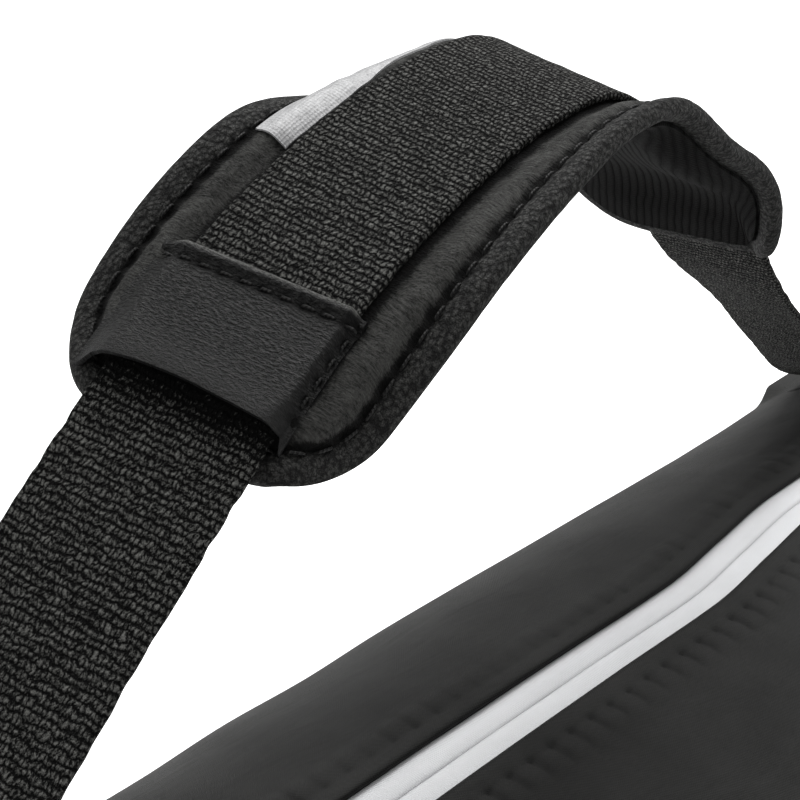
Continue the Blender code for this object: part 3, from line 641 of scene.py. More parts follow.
def there_and_back(grid):
    """The grid's columns, then the same in reverse order, then the first again."""
    return np.concatenate([grid, grid[:, ::-1], grid[:, :1]], axis=1)


def closed_sheet(name, upper, lower, run, wide, finish, painted_shading=None, sharp=None):
    """A sheet with two faces, whose lower one has its columns in reverse order. run and wide are the cloth's
    coordinates over the upper face. Edges that bend by more than sharp degrees are left crisp."""
    points = np.concatenate([upper, lower], axis=1)
    uv = np.stack([there_and_back(grid) for grid in np.broadcast_arrays(run, wide)], -1)
    piece = surface(name, points, uv, finish, wrap_columns=True, caps=True, painted_shading=painted_shading)
    if sharp:
        piece.data.set_sharp_from_angle(angle=math.radians(sharp))
    return wear(piece, name)


def add_band(name, line, run, section, across, high, finish, painted_shading=None):
    """A flat band carried along a line of (places, side, out). section is the (w, h) round it, and across and
    high are the same with what makes it uneven."""
    place, side, out = (part[:, None] for part in line)
    points = place + side * across[..., None] + out * high[..., None]
    around = lengths_along(np.stack(section, -1))
    around = np.append(around, around[-1] + BAND_CLOSING)
    uv = np.stack(np.meshgrid(run, around, indexing="ij"), -1)
    piece = surface(name, points, uv, finish, wrap_columns=True, caps=True, painted_shading=painted_shading)
    return wear(piece, name)


def unit(v):
    return v / np.linalg.norm(v, axis=-1, keepdims=True)


def lengths_along(points, axis=0):
    """The running length of a grid's lines along an axis."""
    steps = np.linalg.norm(np.diff(points, axis=axis), axis=-1)
    start = np.zeros_like(np.take(steps, [0], axis=axis))
    return np.concatenate([start, np.cumsum(steps, axis=axis)], axis=axis)


def resample(at, length, places):
    """The places at other lengths along their line."""
    return np.stack([np.interp(at, length, column) for column in places.T], -1)


def inside_rounded(a, b, length, width, corner):
    """How far a place is inside a rectangle with round corners. a and b are measured from its middle."""
    a = np.abs(a) - (length / 2 - corner)
    b = np.abs(b) - (width / 2 - corner)
    outside = np.hypot(np.maximum(a, 0.0), np.maximum(b, 0.0))
    return corner - outside - np.minimum(np.maximum(a, b), 0.0)


def hill(x, centre, width):
    """A smooth bump of height 1: exp(-((x - centre) / width)^2)."""
    return np.exp(-(((x - centre) / width) ** 2))


def smooth(t):
    return t * t * (3 - 2 * t)


def step_up(x, start, end):
    """0 before start, 1 after end, and a smooth step between them."""
    return smooth(np.clip((x - start) / (end - start), 0.0, 1.0))


def hermite(start, start_slope, end, end_slope, t):
    """The cubic with these ends and end slopes."""
    return (
        start * ((1 + 2 * t) * (1 - t) ** 2)
        + start_slope * (t * (1 - t) ** 2)
        + end * smooth(t)
        - end_slope * (t * t * (1 - t))
    )


def cloudy(x, y, seed, size):
    """Smooth noise from -1 to 1: random numbers on a grid of this size, joined by smooth steps. It
    repeats past the grid's last cell."""
    values = np.random.default_rng(seed).uniform(-1, 1, (NOISE_CELLS, NOISE_CELLS))
    a, b = x / size + NOISE_START, y / size + NOISE_START
    i, j = np.floor(a).astype(int), np.floor(b).astype(int)
    p, q = smooth(a - i), smooth(b - j)
    i, j = i % (NOISE_CELLS - 1), j % (NOISE_CELLS - 1)
    low = values[i, j] * (1 - p) + values[i + 1, j] * p
    high = values[i, j + 1] * (1 - p) + values[i + 1, j + 1] * p
    return low * (1 - q) + high * q


# The bag's surface

def end_inset(x):
    """How far the section is drawn in: a quarter circle of END_ROUND past ROUND_X."""
    past = np.clip(np.abs(x) - ROUND_X, 0.0, END_ROUND)
    return END_ROUND - np.sqrt(END_ROUND**2 - past**2)


def body_point(x, y, z):
    """A point of the middle section carried to x: narrowed by END_TAPER, lowered by CREST_DROP, drawn in.
    Near the crest it is moved across by ZIP_WANDER, as the cloth there was sewn."""
    x, y, z = np.broadcast_arrays(x, y, z)
    run = np.minimum(np.abs(x) / HALF_LENGTH, 1.0) ** 2
    inset = end_inset(x)
    middle = BAG_HEIGHT / 2
    across = y * (1 - END_TAPER * run) * (1 - inset / HALF_WIDTH)
    across = across + smooth_curve(x, ZIP_WANDER) * step_up(z, WANDER_FROM, WANDER_TO)
    height = z * (1 - CREST_DROP / BAG_HEIGHT * run)
    return np.stack([x + CENTRE_SHIFT, across, middle + (height - middle) * (1 - inset / middle)], -1)


def dome(angle):
    """(y, z) over the dome, an ellipse, at an angle in degrees from its crest."""
    turn = np.radians(angle)
    return HALF_WIDTH * np.sin(turn), DOME_BASE + DOME_HEIGHT * np.cos(turn)


def side_wall(share):
    """(y, z) down the side wall, from the dome's foot at 0 to the base seam at 1."""
    tuck = SIDE_TUCK * (1 + np.cos(np.pi * (1 - share))) / 2
    return HALF_WIDTH - tuck, DOME_BASE + (BASE_SEAM - DOME_BASE) * share


def base_corner(count):
    """(y, z) round the base's corner, from the wall's foot to the floor."""
    turn = np.linspace(0, np.pi / 2, count)
    return HALF_WIDTH - SIDE_TUCK - BASE_RADIUS * (1 - np.cos(turn)), BASE_RADIUS * (1 - np.sin(turn))


def crest_point(x, angle):
    y, z = dome(angle)
    return body_point(x, y, z)


def crest_frame(x, angle, lift=0.0):
    """A point over the dome, lifted off it, with the directions along the bag, across the dome and out."""
    along = unit(crest_point(x + 0.001, angle) - crest_point(x - 0.001, angle))
    across = unit(crest_point(x, angle + 0.5) - crest_point(x, angle - 0.5))
    out = unit(np.cross(along, across))
    return crest_point(x, angle) + out * np.asarray(lift)[..., None], along, across, out


def dome_place(x, angle, lift):
    return crest_frame(x, angle, lift)[0]


def dome_rate(x, angle):
    """The length of a degree of the dome at a place on it."""
    return np.linalg.norm(crest_point(x, angle + 0.5) - crest_point(x, angle - 0.5))


def crest_angle(y):
    return np.degrees(np.arcsin(y / HALF_WIDTH))


def panel_slack(x, down):
    """How far a side panel's cloth stands off its smooth form, at x and at a length down from the zip: long
    low swells that run down the side, and shorter ones that run at a slant."""
    settle = step_up(down, 0.010, 0.060)
    low = step_up(down, 0.080, 0.200)
    swell = cloudy(x + 0.25 * down, down * 0.45, 3, 0.085) * 0.0016
    billow = cloudy(x, down * 0.5, 8, 0.19) * 0.0030
    small = cloudy(x - 0.3 * down, down * 0.8, 5, 0.032) * 0.0006
    return settle * (swell + small) + low * billow


def zip_pull(x, side):
    """(pull, tightness) of the zip's stitches: pull is 1 at a hole, and some stretches are sewn tighter."""
    pull = np.cos(np.pi * x / ZIP_PITCH) ** 8
    tight = 0.75 + 0.75 * cloudy(x, 0 * x, 61 + side, 0.045) + 0.35 * cloudy(x, 0 * x, 63 + side, 0.011)
    return pull, np.clip(tight, 0.1, 1.6)


def zip_roll(down, x, side):
    """The height of the folded edge beside the zip: a low roll over the first 3 mm, a dimple at each stitch
    hole, and gathers that run out from the row where it is sewn tight."""
    roll = 0.0004 * step_up(down, -0.0004, 0.0008) * (1 - step_up(down, 0.0020, ZIP_ROW))
    pull, tight = zip_pull(x, side)
    groove = -(0.00010 + 0.0009 * pull * tight) * hill(down, ZIP_ROW, 0.0015)
    swell = (0.0003 + 0.0006 * (1 - pull) * tight) * hill(down, 0.0105, 0.0036)
    return roll + groove + swell


def zip_painted_shade(down, x, side):
    """Painted shade on the cloth beside the zip: in the stitch holes and the gathers, and round the folded
    edge.
    """
    pull, tight = zip_pull(x, side)
    holes = pull * tight * (0.8 * hill(down, ZIP_ROW, 0.0014) + 0.5 * hill(down, 0.0095, 0.0026))
    return np.clip(holes + 0.9 * (1 - step_up(down, 0.0001, 0.0007)), 0.0, 1.0)


def anchor_roll(x, angle):
    """The thick sewn roll past the strap's far anchor: a ridge that runs along the bag."""
    start = FAR_ANCHOR_X + ROLL_START
    end = start + ROLL_LENGTH
    ramp = step_up(x, start - 0.012, start) * (1 - step_up(x, end, end + 0.014))
    return ROLL_HEIGHT * ramp * hill((angle - ROLL_ANGLE) * CREST_DEGREE, 0.0, ROLL_WIDTH)


def add_side_panel(name, side, finish):
    """One side of the bag: x along it, and from the zip's edge over the dome and down to the base seam."""
    middle = np.arange(-ZIP_HALF, ZIP_HALF + 0.001, 0.002)
    ends = np.linspace(SLOT_END, SEAM_X, 16)
    x = np.concatenate([-ends[::-1], middle[1:-1], ends])[:, None]
    fine = np.concatenate([[0.0, 0.0005, 0.0011, 0.0018, 0.0026, 0.0036], np.arange(0.0046, 0.0160, 0.0010)])
    reach = np.interp(np.abs(x), [SLOT_END, SLOT_END + 0.012], [ZIP_WIDTH / 2, GAP / 2])
    edge = crest_angle(reach)
    near_zip = edge + fine[None, :] / CREST_DEGREE
    join = near_zip[:, -1:]
    over = join + (90.0 - join) * (np.linspace(0, 1, 25)[None, 1:] ** 1.15)
    angles = np.concatenate([near_zip, over], axis=1)
    dome_y, dome_z = dome(angles)
    wall_y, wall_z = side_wall(np.linspace(0, 1, 20)[None, 1:])
    rows = np.ones_like(x)
    y = np.concatenate([dome_y, rows * wall_y], axis=1)
    z = np.concatenate([dome_z, rows * wall_z], axis=1)
    base = body_point(x, side * y, z)
    down = lengths_along(base, 1)
    along = unit(np.gradient(base, axis=0))
    across = unit(np.gradient(base, axis=1))
    out = unit(np.cross(along, across)) * side
    seam = 1 - step_up(down, 0.31, 0.335)
    ends_free = step_up(SEAM_X - np.abs(x), 0.0, 0.04)
    zip_free = step_up(SLOT_END + 0.010 - np.abs(x), 0.0, 0.012)
    lift = panel_slack(x + 0.7 * side, down) * seam * ends_free + zip_roll(down, x, side) * zip_free
    if side > 0:
        lift[:, : angles.shape[1]] += anchor_roll(x, angles)
    points = base + out * lift[..., None]
    uv = np.stack([np.broadcast_to(x, down.shape), down], -1)
    # Painted shade beside the zip, in its stitch holes and gathers and at the folded edge.
    painted_shading = zip_painted_shade(down, x, side) * zip_free
    piece = surface(name, points, uv, finish, flip=side < 0, painted_shading=painted_shading)
    walled(piece, CLOTH_WALL)
    return wear(piece, name)


def add_base_panel(finish):
    """The floor of the bag: x along it, and round from one base seam to the other."""
    across, height = base_corner(12)
    near_y = np.concatenate([[across[0]], across, across[-1] * np.linspace(1, 0, 14)[1:]])
    near_z = np.concatenate([[BASE_SEAM - GAP], height, np.zeros(13)])
    y = np.concatenate([-near_y, near_y[::-1][1:]])[None, :]
    z = np.concatenate([near_z, near_z[::-1][1:]])[None, :]
    x = np.linspace(-SEAM_X, SEAM_X, 200)[:, None]
    points = body_point(x, y, z)
    uv = np.stack([np.broadcast_to(x, points.shape[:2]), lengths_along(points, 1)], -1)
    piece = surface("base_panel", points, uv, finish)
    walled(piece, BASE_WALL)
    return wear(piece, "base_panel")


def full_section(count):
    """The closed ring of the bag's section, (y, z), at even lengths from the crest round by the far side."""
    wall, floor = side_wall(np.linspace(0, 1, 30)[1:]), ([0.0], [0.0])
    parts = dome(np.linspace(0, 90, 40)), wall, base_corner(20), floor
    y, z = (np.concatenate(column) for column in zip(*parts))
    ring = np.concatenate([np.stack([y, z], -1), np.stack([-y, z], -1)[::-1][1:]])
    length = lengths_along(ring)
    return resample(np.linspace(0, length[-1], count + 1)[:-1], length, ring).T


def add_end_panel(name, side, finish):
    """A rounded end: rings from the seam round to the flat face, then in to its middle. The cloth is laid out
    flat from that middle, each place at its length along the surface and its bearing."""
    count = 160
    y, z = full_section(count)
    turns = np.linspace(0, np.pi / 2, 22)
    x = side * np.concatenate([[SEAM_X + GAP], ROUND_X + END_ROUND * np.sin(turns)])[:, None]
    round_part = body_point(x, y[None, :], z[None, :])
    rim = round_part[-1]
    centre = np.array([side * HALF_LENGTH + CENTRE_SHIFT, 0.0, BAG_HEIGHT / 2])
    share = np.linspace(1, 0, 16)[1:, None, None]
    face = centre + (rim - centre) * share
    face[..., 0] += side * END_BULGE * (1 - share[..., 0] ** 2)
    points = np.concatenate([round_part, face])
    if side < 0:
        points = keep_off_housing(points)
    depth = lengths_along(points, 0)
    bearing = np.arctan2(z - BAG_HEIGHT / 2, y)
    spread = (depth[-1] - depth)[..., None] * np.stack([np.cos(bearing), np.sin(bearing)], -1)
    uv = np.concatenate([spread, spread[:, :1]], axis=1)
    piece = surface(name, points, uv, finish, wrap_columns=True)
    walled(piece, CLOTH_WALL)
    return wear(piece, name)


def keep_off_housing(points):
    """Where the wheels' housing takes the lower corner, the cloth stops at its top and folds in behind it."""
    lowest = HOUSING_HEIGHT + 0.0004
    points = points.copy()
    under = points[..., 2] < lowest
    points[..., 2] = np.where(under, lowest, points[..., 2])
    return points


# The strap and the pad

def smooth_curve(share, table, column=1):
    """A curve through a table's rows: cubics whose slope at a row is the harmonic mean of its neighbours'."""
    knots = np.array([row[0] for row in table])
    values = np.array([row[column] for row in table])
    rates = np.diff(values) / np.diff(knots)
    product = rates[:-1] * rates[1:]
    rising = product > 0
    slopes = np.zeros(len(knots))
    slopes[1:-1] = np.where(rising, 2 * product / np.where(rising, rates[:-1] + rates[1:], 1.0), 0.0)
    share = np.clip(share, knots[0], knots[-1])
    i = np.clip(np.searchsorted(knots, share) - 1, 0, len(knots) - 2)
    width = knots[i + 1] - knots[i]
    t = (share - knots[i]) / width
    return hermite(values[i], width * slopes[i], values[i + 1], width * slopes[i + 1], t)


def strap_axes():
    """The directions along, across and up the plane that the strap is bent in."""
    yaw, lean = math.radians(STRAP_YAW), math.radians(STRAP_LEAN)
    along = np.array([math.cos(yaw), math.sin(yaw), 0.0])
    level = np.array([-math.sin(yaw), math.cos(yaw), 0.0])
    across = level * math.cos(lean) + np.array([0, 0, math.sin(lean)])
    return along, across, np.cross(along, across)


def strap_spine():
    """Arc lengths along the strap, and its run, lift and rise: sums of the cosine and sine of its heading."""
    s = np.arange(-NEAR_STRAIGHT, PAD_LENGTH + FAR_STRAIGHT + SPINE_STEP, SPINE_STEP)
    rises = np.radians(smooth_curve(s / PAD_LENGTH, HEADINGS))
    steps = np.diff(s) / 2
    sums = []
    for rate in (np.cos(rises), np.sin(rises)):
        total = np.concatenate([[0], np.cumsum((rate[1:] + rate[:-1]) * steps)])
        sums.append(total - np.interp(0.0, s, total))
    return s, *sums, rises


def strap_frame(s):
    """The strap's middle at arc length s, with its along, across and upward directions."""
    lengths = SPINE[0]
    along, across, up = AXES
    start = np.array([PAD_NEAR_X + CENTRE_SHIFT, PAD_NEAR_Y, BAG_HEIGHT + PAD_RISE])
    run, lift, rise = (np.interp(s, lengths, row)[..., None] for row in SPINE[1:])
    middle = start + along * run + up * lift
    ahead = along * np.cos(rise) + up * np.sin(rise)
    normal = up * np.cos(rise) - along * np.sin(rise)
    twist = np.radians(smooth_curve(s / PAD_LENGTH, TWISTS))[..., None]
    side = across * np.cos(twist) + normal * np.sin(twist)
    return middle, ahead, side, np.cross(ahead, side)


def pad_point(s, w, h):
    """A point of the pad: s along it, w across it and h above its middle sheet. Past PAD_FLAT each border
    turns down by its curl over PAD_BEND, as an arc, and then runs straight on."""
    s, w, h = np.broadcast_arrays(np.asarray(s, float), w, h)
    middle, _, side, normal = strap_frame(s)
    share = s / PAD_LENGTH
    curl = np.radians(np.where(w > 0, smooth_curve(share, CURLS, 1), smooth_curve(share, CURLS, 2)))
    curl = np.where(np.abs(curl) > 1e-4, curl, 1e-4)
    past = np.abs(w) - PAD_FLAT
    turn = curl * np.clip(past, 0.0, PAD_BEND) / PAD_BEND
    radius = PAD_BEND / curl
    rest = np.maximum(past - PAD_BEND, 0.0)
    out = np.minimum(np.abs(w), PAD_FLAT) + radius * np.sin(turn) + rest * np.cos(turn) + h * np.sin(turn)
    drop = radius * (1 - np.cos(turn)) + rest * np.sin(turn)
    return middle + side * np.copysign(out, w)[..., None] + normal * (h * np.cos(turn) - drop)[..., None]


def pad_half_width(s, inset):
    """Half the pad's width at s, drawn in by inset, with its corners a quarter circle."""
    half, corner = PAD_WIDTH / 2 - inset, PAD_CORNER - inset
    reach = np.clip(np.minimum(s - inset, PAD_LENGTH - inset - s), 0.0, corner)
    return half - corner + np.sqrt(np.maximum(corner**2 - (corner - reach) ** 2, 0.0))


def pad_stations(inset, count):
    """Places along the pad, close together round its corners."""
    corner = PAD_CORNER - inset
    start = inset + corner * (1 - np.cos(np.radians(np.linspace(6.0, 90.0, 16))))
    middle = np.linspace(start[-1], PAD_LENGTH - start[-1], count)[1:-1]
    return np.concatenate([start, middle, PAD_LENGTH - start[::-1]])


def edge_distance(s, w):
    """How far a place on the pad is inside its outline."""
    return inside_rounded(s - PAD_LENGTH / 2, w, PAD_LENGTH, PAD_WIDTH, PAD_CORNER)


def outline_path(inset, spacing):
    """(s, w, outward s, outward w) at even lengths round the pad's outline drawn in by inset."""
    corner = PAD_CORNER - inset
    side_s, side_w = PAD_LENGTH / 2 - PAD_CORNER, PAD_WIDTH / 2 - PAD_CORNER
    turns = np.radians(np.linspace(90.0, 0.0, 40))
    centres = ((side_s, side_w), (side_s, -side_w), (-side_s, -side_w), (-side_s, side_w))
    s, w, out_s, out_w = [], [], [], []
    for quarter, (centre_s, centre_w) in enumerate(centres):
        angle = turns - quarter * np.pi / 2
        s.append(centre_s + corner * np.cos(angle) + PAD_LENGTH / 2)
        w.append(centre_w + corner * np.sin(angle))
        out_s.append(np.cos(angle))
        out_w.append(np.sin(angle))
    rows = [np.concatenate([*part, part[0][:1]]) for part in (s, w, out_s, out_w)]
    length = lengths_along(np.stack(rows[:2], -1))
    count = int(round(length[-1] / spacing))
    even = np.linspace(0.0, length[-1], count + 1)[:-1]
    return [np.interp(even, length, row) for row in rows] + [even]


def pad_ring(name, top, bottom, finish, columns, count, groove=None):
    """A closed sheet of the pad between two heights that are functions of s and w. groove gives the painted
    shade of its upper face in the seams and against the webbing's edges."""
    inset = BINDING_WIDTH - RIM_TUCK
    s = pad_stations(inset, count)[:, None]
    half = pad_half_width(s, inset)
    shares = np.sin(np.linspace(-np.pi / 2, np.pi / 2, columns))[None, :]
    w = half * (0.35 * shares + 0.65 * np.linspace(-1, 1, columns)[None, :])
    upper = pad_point(s, w, top(s, w))
    lower = pad_point(s, w[:, ::-1], bottom(s, w[:, ::-1]))
    depth = np.concatenate([groove(s, w), 0 * w], axis=1) if groove else None
    return closed_sheet(name, upper, lower, s, w, finish, depth, 50.0)


def row_pull(s):
    """1 at each stitch hole of the pad's row and 0 between them."""
    return 0.5 + 0.5 * np.cos(2 * np.pi * s / ROW_PITCH)


def suede_top(s, w):
    """The pad's upper face: a soft swell between the webbing and the stitch row, drawn down into the row
    and pulled tight at every stitch."""
    inside = edge_distance(s, w) - BINDING_WIDTH
    swell = 0.0012 * hill(inside, 0.0048, 0.0030)
    sink = (0.0009 + 0.0007 * row_pull(s)) * (1 - step_up(inside, 0.0, 0.0030))
    ruck = 0.00025 * cloudy(s, w * 0.6, 12, 0.0045) * step_up(inside, 0.001, 0.004)
    return CORE_TOP + swell - sink + ruck


def suede_painted_shade(s, w):
    """Painted shade on the suede: in the stitch row, more so at every hole, and against the webbing's edges.
    """
    inside = edge_distance(s, w) - BINDING_WIDTH
    row = (0.55 + 0.45 * row_pull(s)) * (1 - step_up(inside, 0.0002, 0.0022))
    return np.maximum(row, 0.8 * hill(np.abs(w), WEBBING_WIDTH / 2, 0.0016))


def add_pad(finishes):
    """The pad's core, which is padded, its ribbed lining below and its rolled rim."""
    top = CORE_BOTTOM - PLY_GAP

    def core_face(_, w):
        return CORE_BOTTOM + 0 * w

    def lining_top(_, w):
        return top + 0 * w

    def lining_face(s, w):
        inside = edge_distance(s, w) - BINDING_WIDTH
        return top - LINING_THICK - 0.0008 * hill(inside, 0.010, 0.008)

    core = pad_ring("pad_core", suede_top, core_face, finishes["suede"], 85, 240, suede_painted_shade)
    pad_ring("pad_lining", lining_top, lining_face, finishes["lining"], 41, 90)
    add_rim(finishes["rim"])


def add_rim(finish):
    """The rolled edge: a flattened round section carried round the outline, pinched in at every stitch."""
    s, w, out_s, out_w, run = outline_path(0.0, RIM_STEP)
    middle = (CORE_TOP + CORE_BOTTOM - LINING_THICK) / 2
    turn = np.linspace(0, 2 * np.pi, 37)[None, :-1]
    pull = (np.cos(np.pi * run / ROW_PITCH) ** 4)[:, None]
    uneven = cloudy(run[:, None] + 0 * turn, turn * 0.004, 21, 0.0026)
    shape_r = np.sign(np.cos(turn)) * np.abs(np.cos(turn)) ** 0.75
    shape_h = np.sign(np.sin(turn)) * np.abs(np.sin(turn)) ** 0.65
    inner = (1 - np.cos(turn)) / 2
    r = (BINDING_WIDTH / 2 * (shape_r - 1) - 0.0002 * inner) * np.ones_like(pull)
    h = (BINDING_THICK / 2 + 0.0002) * shape_h * (1 - (0.08 + 0.20 * pull) * inner**3) + 0.00010 * uneven
    points = pad_point(s[:, None] + r * out_s[:, None], w[:, None] + r * out_w[:, None], middle + h)
    steps = np.hypot(np.diff(r[0], append=r[0, :1]), np.diff(h[0], append=h[0, :1]))
    around = np.concatenate([[0.0], np.cumsum(steps)])
    along = np.append(run, run[-1] + RIM_STEP)
    uv = np.stack(np.meshgrid(along, around, indexing="ij"), -1)
    # Painted shade on the rim's inner side, where it meets the suede, deeper at each stitch.
    painted_shading = step_up(inner, 0.80, 1.0) * (0.6 + 0.4 * pull)
    piece = surface("pad_edge_binding", points, uv, finish, wrap_rows=True, wrap_columns=True, painted_shading=painted_shading)
    return wear(piece, "pad_edge_binding")


def add_strip(finish):
    """The reflective tape beside the webbing: s along the pad and w across the tape."""
    s = np.linspace(STRIP_SETBACK, PAD_LENGTH - STRIP_SETBACK, 220)[:, None]
    inner = STRIP_NEAR + STRIP_DRIFT * step_up(s / PAD_LENGTH, 0.36, 0.46)
    w = inner + (STRIP_FAR - inner) * np.linspace(0, 1, 12)[None, :]
    edge = np.minimum(w - inner, STRIP_FAR - w)
    top = np.maximum(suede_top(s, w), CORE_TOP) + 0.0004 + 0.0005 * step_up(edge, 0.0, 0.0012)
    upper, lower = pad_point(s, w, top), pad_point(s, w[:, ::-1], (top - 0.0005)[:, ::-1])
    return closed_sheet("reflective_strip", upper, lower, s, w, finish, sharp=45.0)


# The webbing

def landing(s, x, angle, heading, softness=1.0):
    """(places, across) from the strap at s down to the patch at x, then along the sewn stretch. softness is
    how gently it bends on to the patch."""
    lift = PATCH_TOP + WEBBING_THICK / 2
    middle, ahead, side, normal = strap_frame(np.array(s))
    start = middle + normal * WEBBING_LIFT
    end, along, across, _ = crest_frame(np.array(x), np.array(angle), lift)
    reach = np.linalg.norm(end - start)
    t = np.linspace(0, 1, 80)[1:, None]
    places = hermite(start, ahead * heading * reach, end, along * heading * reach * softness, t)
    sides = side * (1 - smooth(t)) + across * smooth(t)
    sewn = x + heading * SEWN_LENGTH * np.linspace(0, 1, 30)[1:]
    flat, _, flat_across, _ = crest_frame(sewn, np.full_like(sewn, angle), lift)
    return np.concatenate([places, flat]), np.concatenate([sides, flat_across])


def webbing_line(spacing):
    """(places, side, out, running length, where the pad starts) from the near patch to the far one, at even
    lengths."""
    far_x = FAR_ANCHOR_X + FAR_LANDING
    near, near_side = landing(-NEAR_STRAIGHT, NEAR_ANCHOR_X, NEAR_ANCHOR_ANGLE, -1)
    far, far_side = landing(PAD_LENGTH + FAR_STRAIGHT, far_x, FAR_ANCHOR_ANGLE, 1, FAR_SOFTNESS)
    s = np.arange(-NEAR_STRAIGHT, PAD_LENGTH + FAR_STRAIGHT, SPINE_STEP)
    middle, _, side, normal = strap_frame(s)
    places = np.concatenate([near[::-1], middle + normal * WEBBING_LIFT, far])
    sides = np.concatenate([near_side[::-1], side, far_side])
    length = lengths_along(places)
    even = np.linspace(0, length[-1], int(length[-1] / spacing))
    place, across = resample(even, length, places), resample(even, length, sides)
    along = unit(np.gradient(place, axis=0))
    for _ in range(3):
        along[1:-1] = unit(along[:-2] + 2 * along[1:-1] + along[2:])
    out = unit(np.cross(along, across))
    pad_start = length[len(near) + int(round(NEAR_STRAIGHT / SPINE_STEP))]
    return place, unit(np.cross(out, along)), out, even, pad_start


def band_ring(half, thick, columns, edge=0.0006):
    """(w, h) round a flat band's section: its upper face, a round edge, its lower face and back."""
    turn = np.linspace(0, 2 * np.pi, 2 * columns + 1)[:-1]
    w = half * np.clip(np.cos(turn) * 1.35, -1, 1) * 0.5 + half * 0.5 * np.cos(turn)
    full = np.clip((half - np.abs(w)) / edge, 0.0, 1.0)
    h = np.sign(np.sin(turn)) * thick / 2 * np.sqrt(1 - (1 - full) ** 2)
    return w, h


def add_webbing(finish):
    """The shoulder webbing: a flat band with thicker woven edges, carried along its line."""
    place, side, out, run, pad_start = webbing_line(0.0012)
    w, h = band_ring(WEBBING_WIDTH / 2, WEBBING_THICK, 34)
    edge = hill(np.abs(w), WEBBING_WIDTH / 2 - 0.0016, 0.0012)
    across = w[None, :] + 0.00022 * cloudy(run, run * 0, 31, 0.0028)[:, None] * np.sign(w)[None, :]
    high = h[None, :] * (1 + 0.16 * edge[None, :]) + 0.00012 * cloudy(run[:, None], w[None, :], 33, 0.0030)
    loose = step_up(np.minimum(run, run[-1] - run), 0.040, 0.046)
    pad_end = pad_start + PAD_LENGTH
    inside = step_up(run, pad_start - 0.012, pad_start) * (1 - step_up(run, pad_end, pad_end + 0.012))
    wave = 0.0006 * cloudy(run[:, None], w[None, :] * 0.6, 35, 0.030)
    high = high + wave * (loose * (1 - inside))[:, None]
    # Painted shade on the webbing where it goes in under each sleeve's mouth.
    from_pad = run - pad_start
    mouths = SLEEVE_MOUTH + 0.002, PAD_LENGTH - SLEEVE_MOUTH - 0.002
    shaded = np.maximum(*(hill(from_pad, mouth, 0.006) for mouth in mouths))
    painted_shading = shaded[:, None] * np.ones_like(high)
    return add_band("shoulder_webbing", (place, side, out), run, (w, h), across, high, finish, painted_shading)


# Leather sleeves

def sleeve_rise(w):
    """0 on the pad and 1 over the webbing: steep at the stitched near edge, and a slope at the far one."""
    return step_up(w, SLEEVE_NEAR + 0.0004, -0.0178) * (1 - step_up(w, 0.0184, SLEEVE_FAR))


def sleeve_top(w):
    """Where the sleeve's hem lies along the pad, at w across it: a line at a slight slant."""
    return SLEEVE_TOP - 0.06 * w


def sleeve_mouth(w):
    """Where the sleeve's mouth lies along the pad: set back in the middle, with both corners forward."""
    bow = -0.0019 * (w / 0.0194) ** 2 * (w > 0) - 0.0009 * (w / 0.0202) ** 2 * (w < 0)
    near_corner = -0.0030 * step_up(-w, 0.0196, -SLEEVE_NEAR)
    return SLEEVE_MOUTH + bow + near_corner - 0.0014 * step_up(w, 0.0200, SLEEVE_FAR)


def add_sleeve(name, mirrored, finish):
    """A leather sleeve over the webbing. Across, it rises from its stitched near edge over the webbing and
    slopes down to the far edge. Along, it gapes at its mouth and ends in a hem with a stitched groove."""
    a = np.linspace(0, 1, 120)[None, :]
    a = a - 0.10 * np.sin(2 * np.pi * a)
    b = np.linspace(0, 1, 96)[:, None]
    w = SLEEVE_NEAR + (SLEEVE_FAR - SLEEVE_NEAR) * a
    mouth, top = sleeve_mouth(w), sleeve_top(w)
    s = mouth + (top - mouth) * b
    from_mouth, from_top = s - mouth, top - s
    rise = sleeve_rise(w)
    gape = 0.0026 * (1 - step_up(from_mouth, 0.0, 0.014)) * step_up(w, SLEEVE_NEAR + 0.0004, -0.0165)
    gape = gape * (1 - step_up(w, 0.0165, SLEEVE_FAR))
    hem = 0.0007 * (1 - step_up(from_top, 0.0012, 0.0022)) * step_up(from_top, -0.0004, 0.0004)
    pull, side_pull = (np.cos(np.pi * place / SLEEVE_PITCH) ** 4 for place in (w, s))
    row = -(0.0006 + 0.0006 * pull) * hill(from_top, SLEEVE_ROW, 0.0009)
    side_row = -0.0005 * (0.4 + side_pull) * hill(w, SLEEVE_SIDE_ROW + 0.0004, 0.0008)
    side_row = side_row * step_up(from_mouth, 0.001, 0.004)
    puff = 0.00025 * cloudy(s, w, 41, 0.006) * rise
    h = SLEEVE_FLOOR + (SLEEVE_CEILING - SLEEVE_FLOOR) * rise + gape + hem + row + side_row + puff
    thick = 0.0010 + 0.0005 * (1 - step_up(from_top, 0.0018, 0.0030))
    thick = thick + 0.0004 * (1 - step_up(from_mouth, 0.0006, 0.0016))
    # Painted shade in the hem's stitch groove and down the near edge's row, and a painted highlight, below 0,
    # along the hem's upper edge.
    groove = (0.6 + 0.4 * pull) * hill(from_top, SLEEVE_ROW - 0.0002, 0.0009)
    side_row_shade = 0.8 * (0.3 + 0.7 * side_pull) * hill(w, SLEEVE_SIDE_ROW + 0.0001, 0.0007)
    hem_highlight = -0.9 * (1 - step_up(from_top, 0.0004, 0.0011)) * step_up(rise, 0.1, 0.6)
    depth = np.maximum(groove, side_row_shade) + hem_highlight
    along = PAD_LENGTH - s if mirrored else s
    upper = pad_point(along, w, h)
    lower = pad_point(along[:, ::-1], w[:, ::-1] * np.ones_like(s), (h - thick)[:, ::-1])
    # The underside takes painted shade all over.
    painted_shading = np.concatenate([depth, np.ones_like(depth)], axis=1)
    return closed_sheet(name, upper, lower, s, w, finish, painted_shading, 60.0)


# Stitches

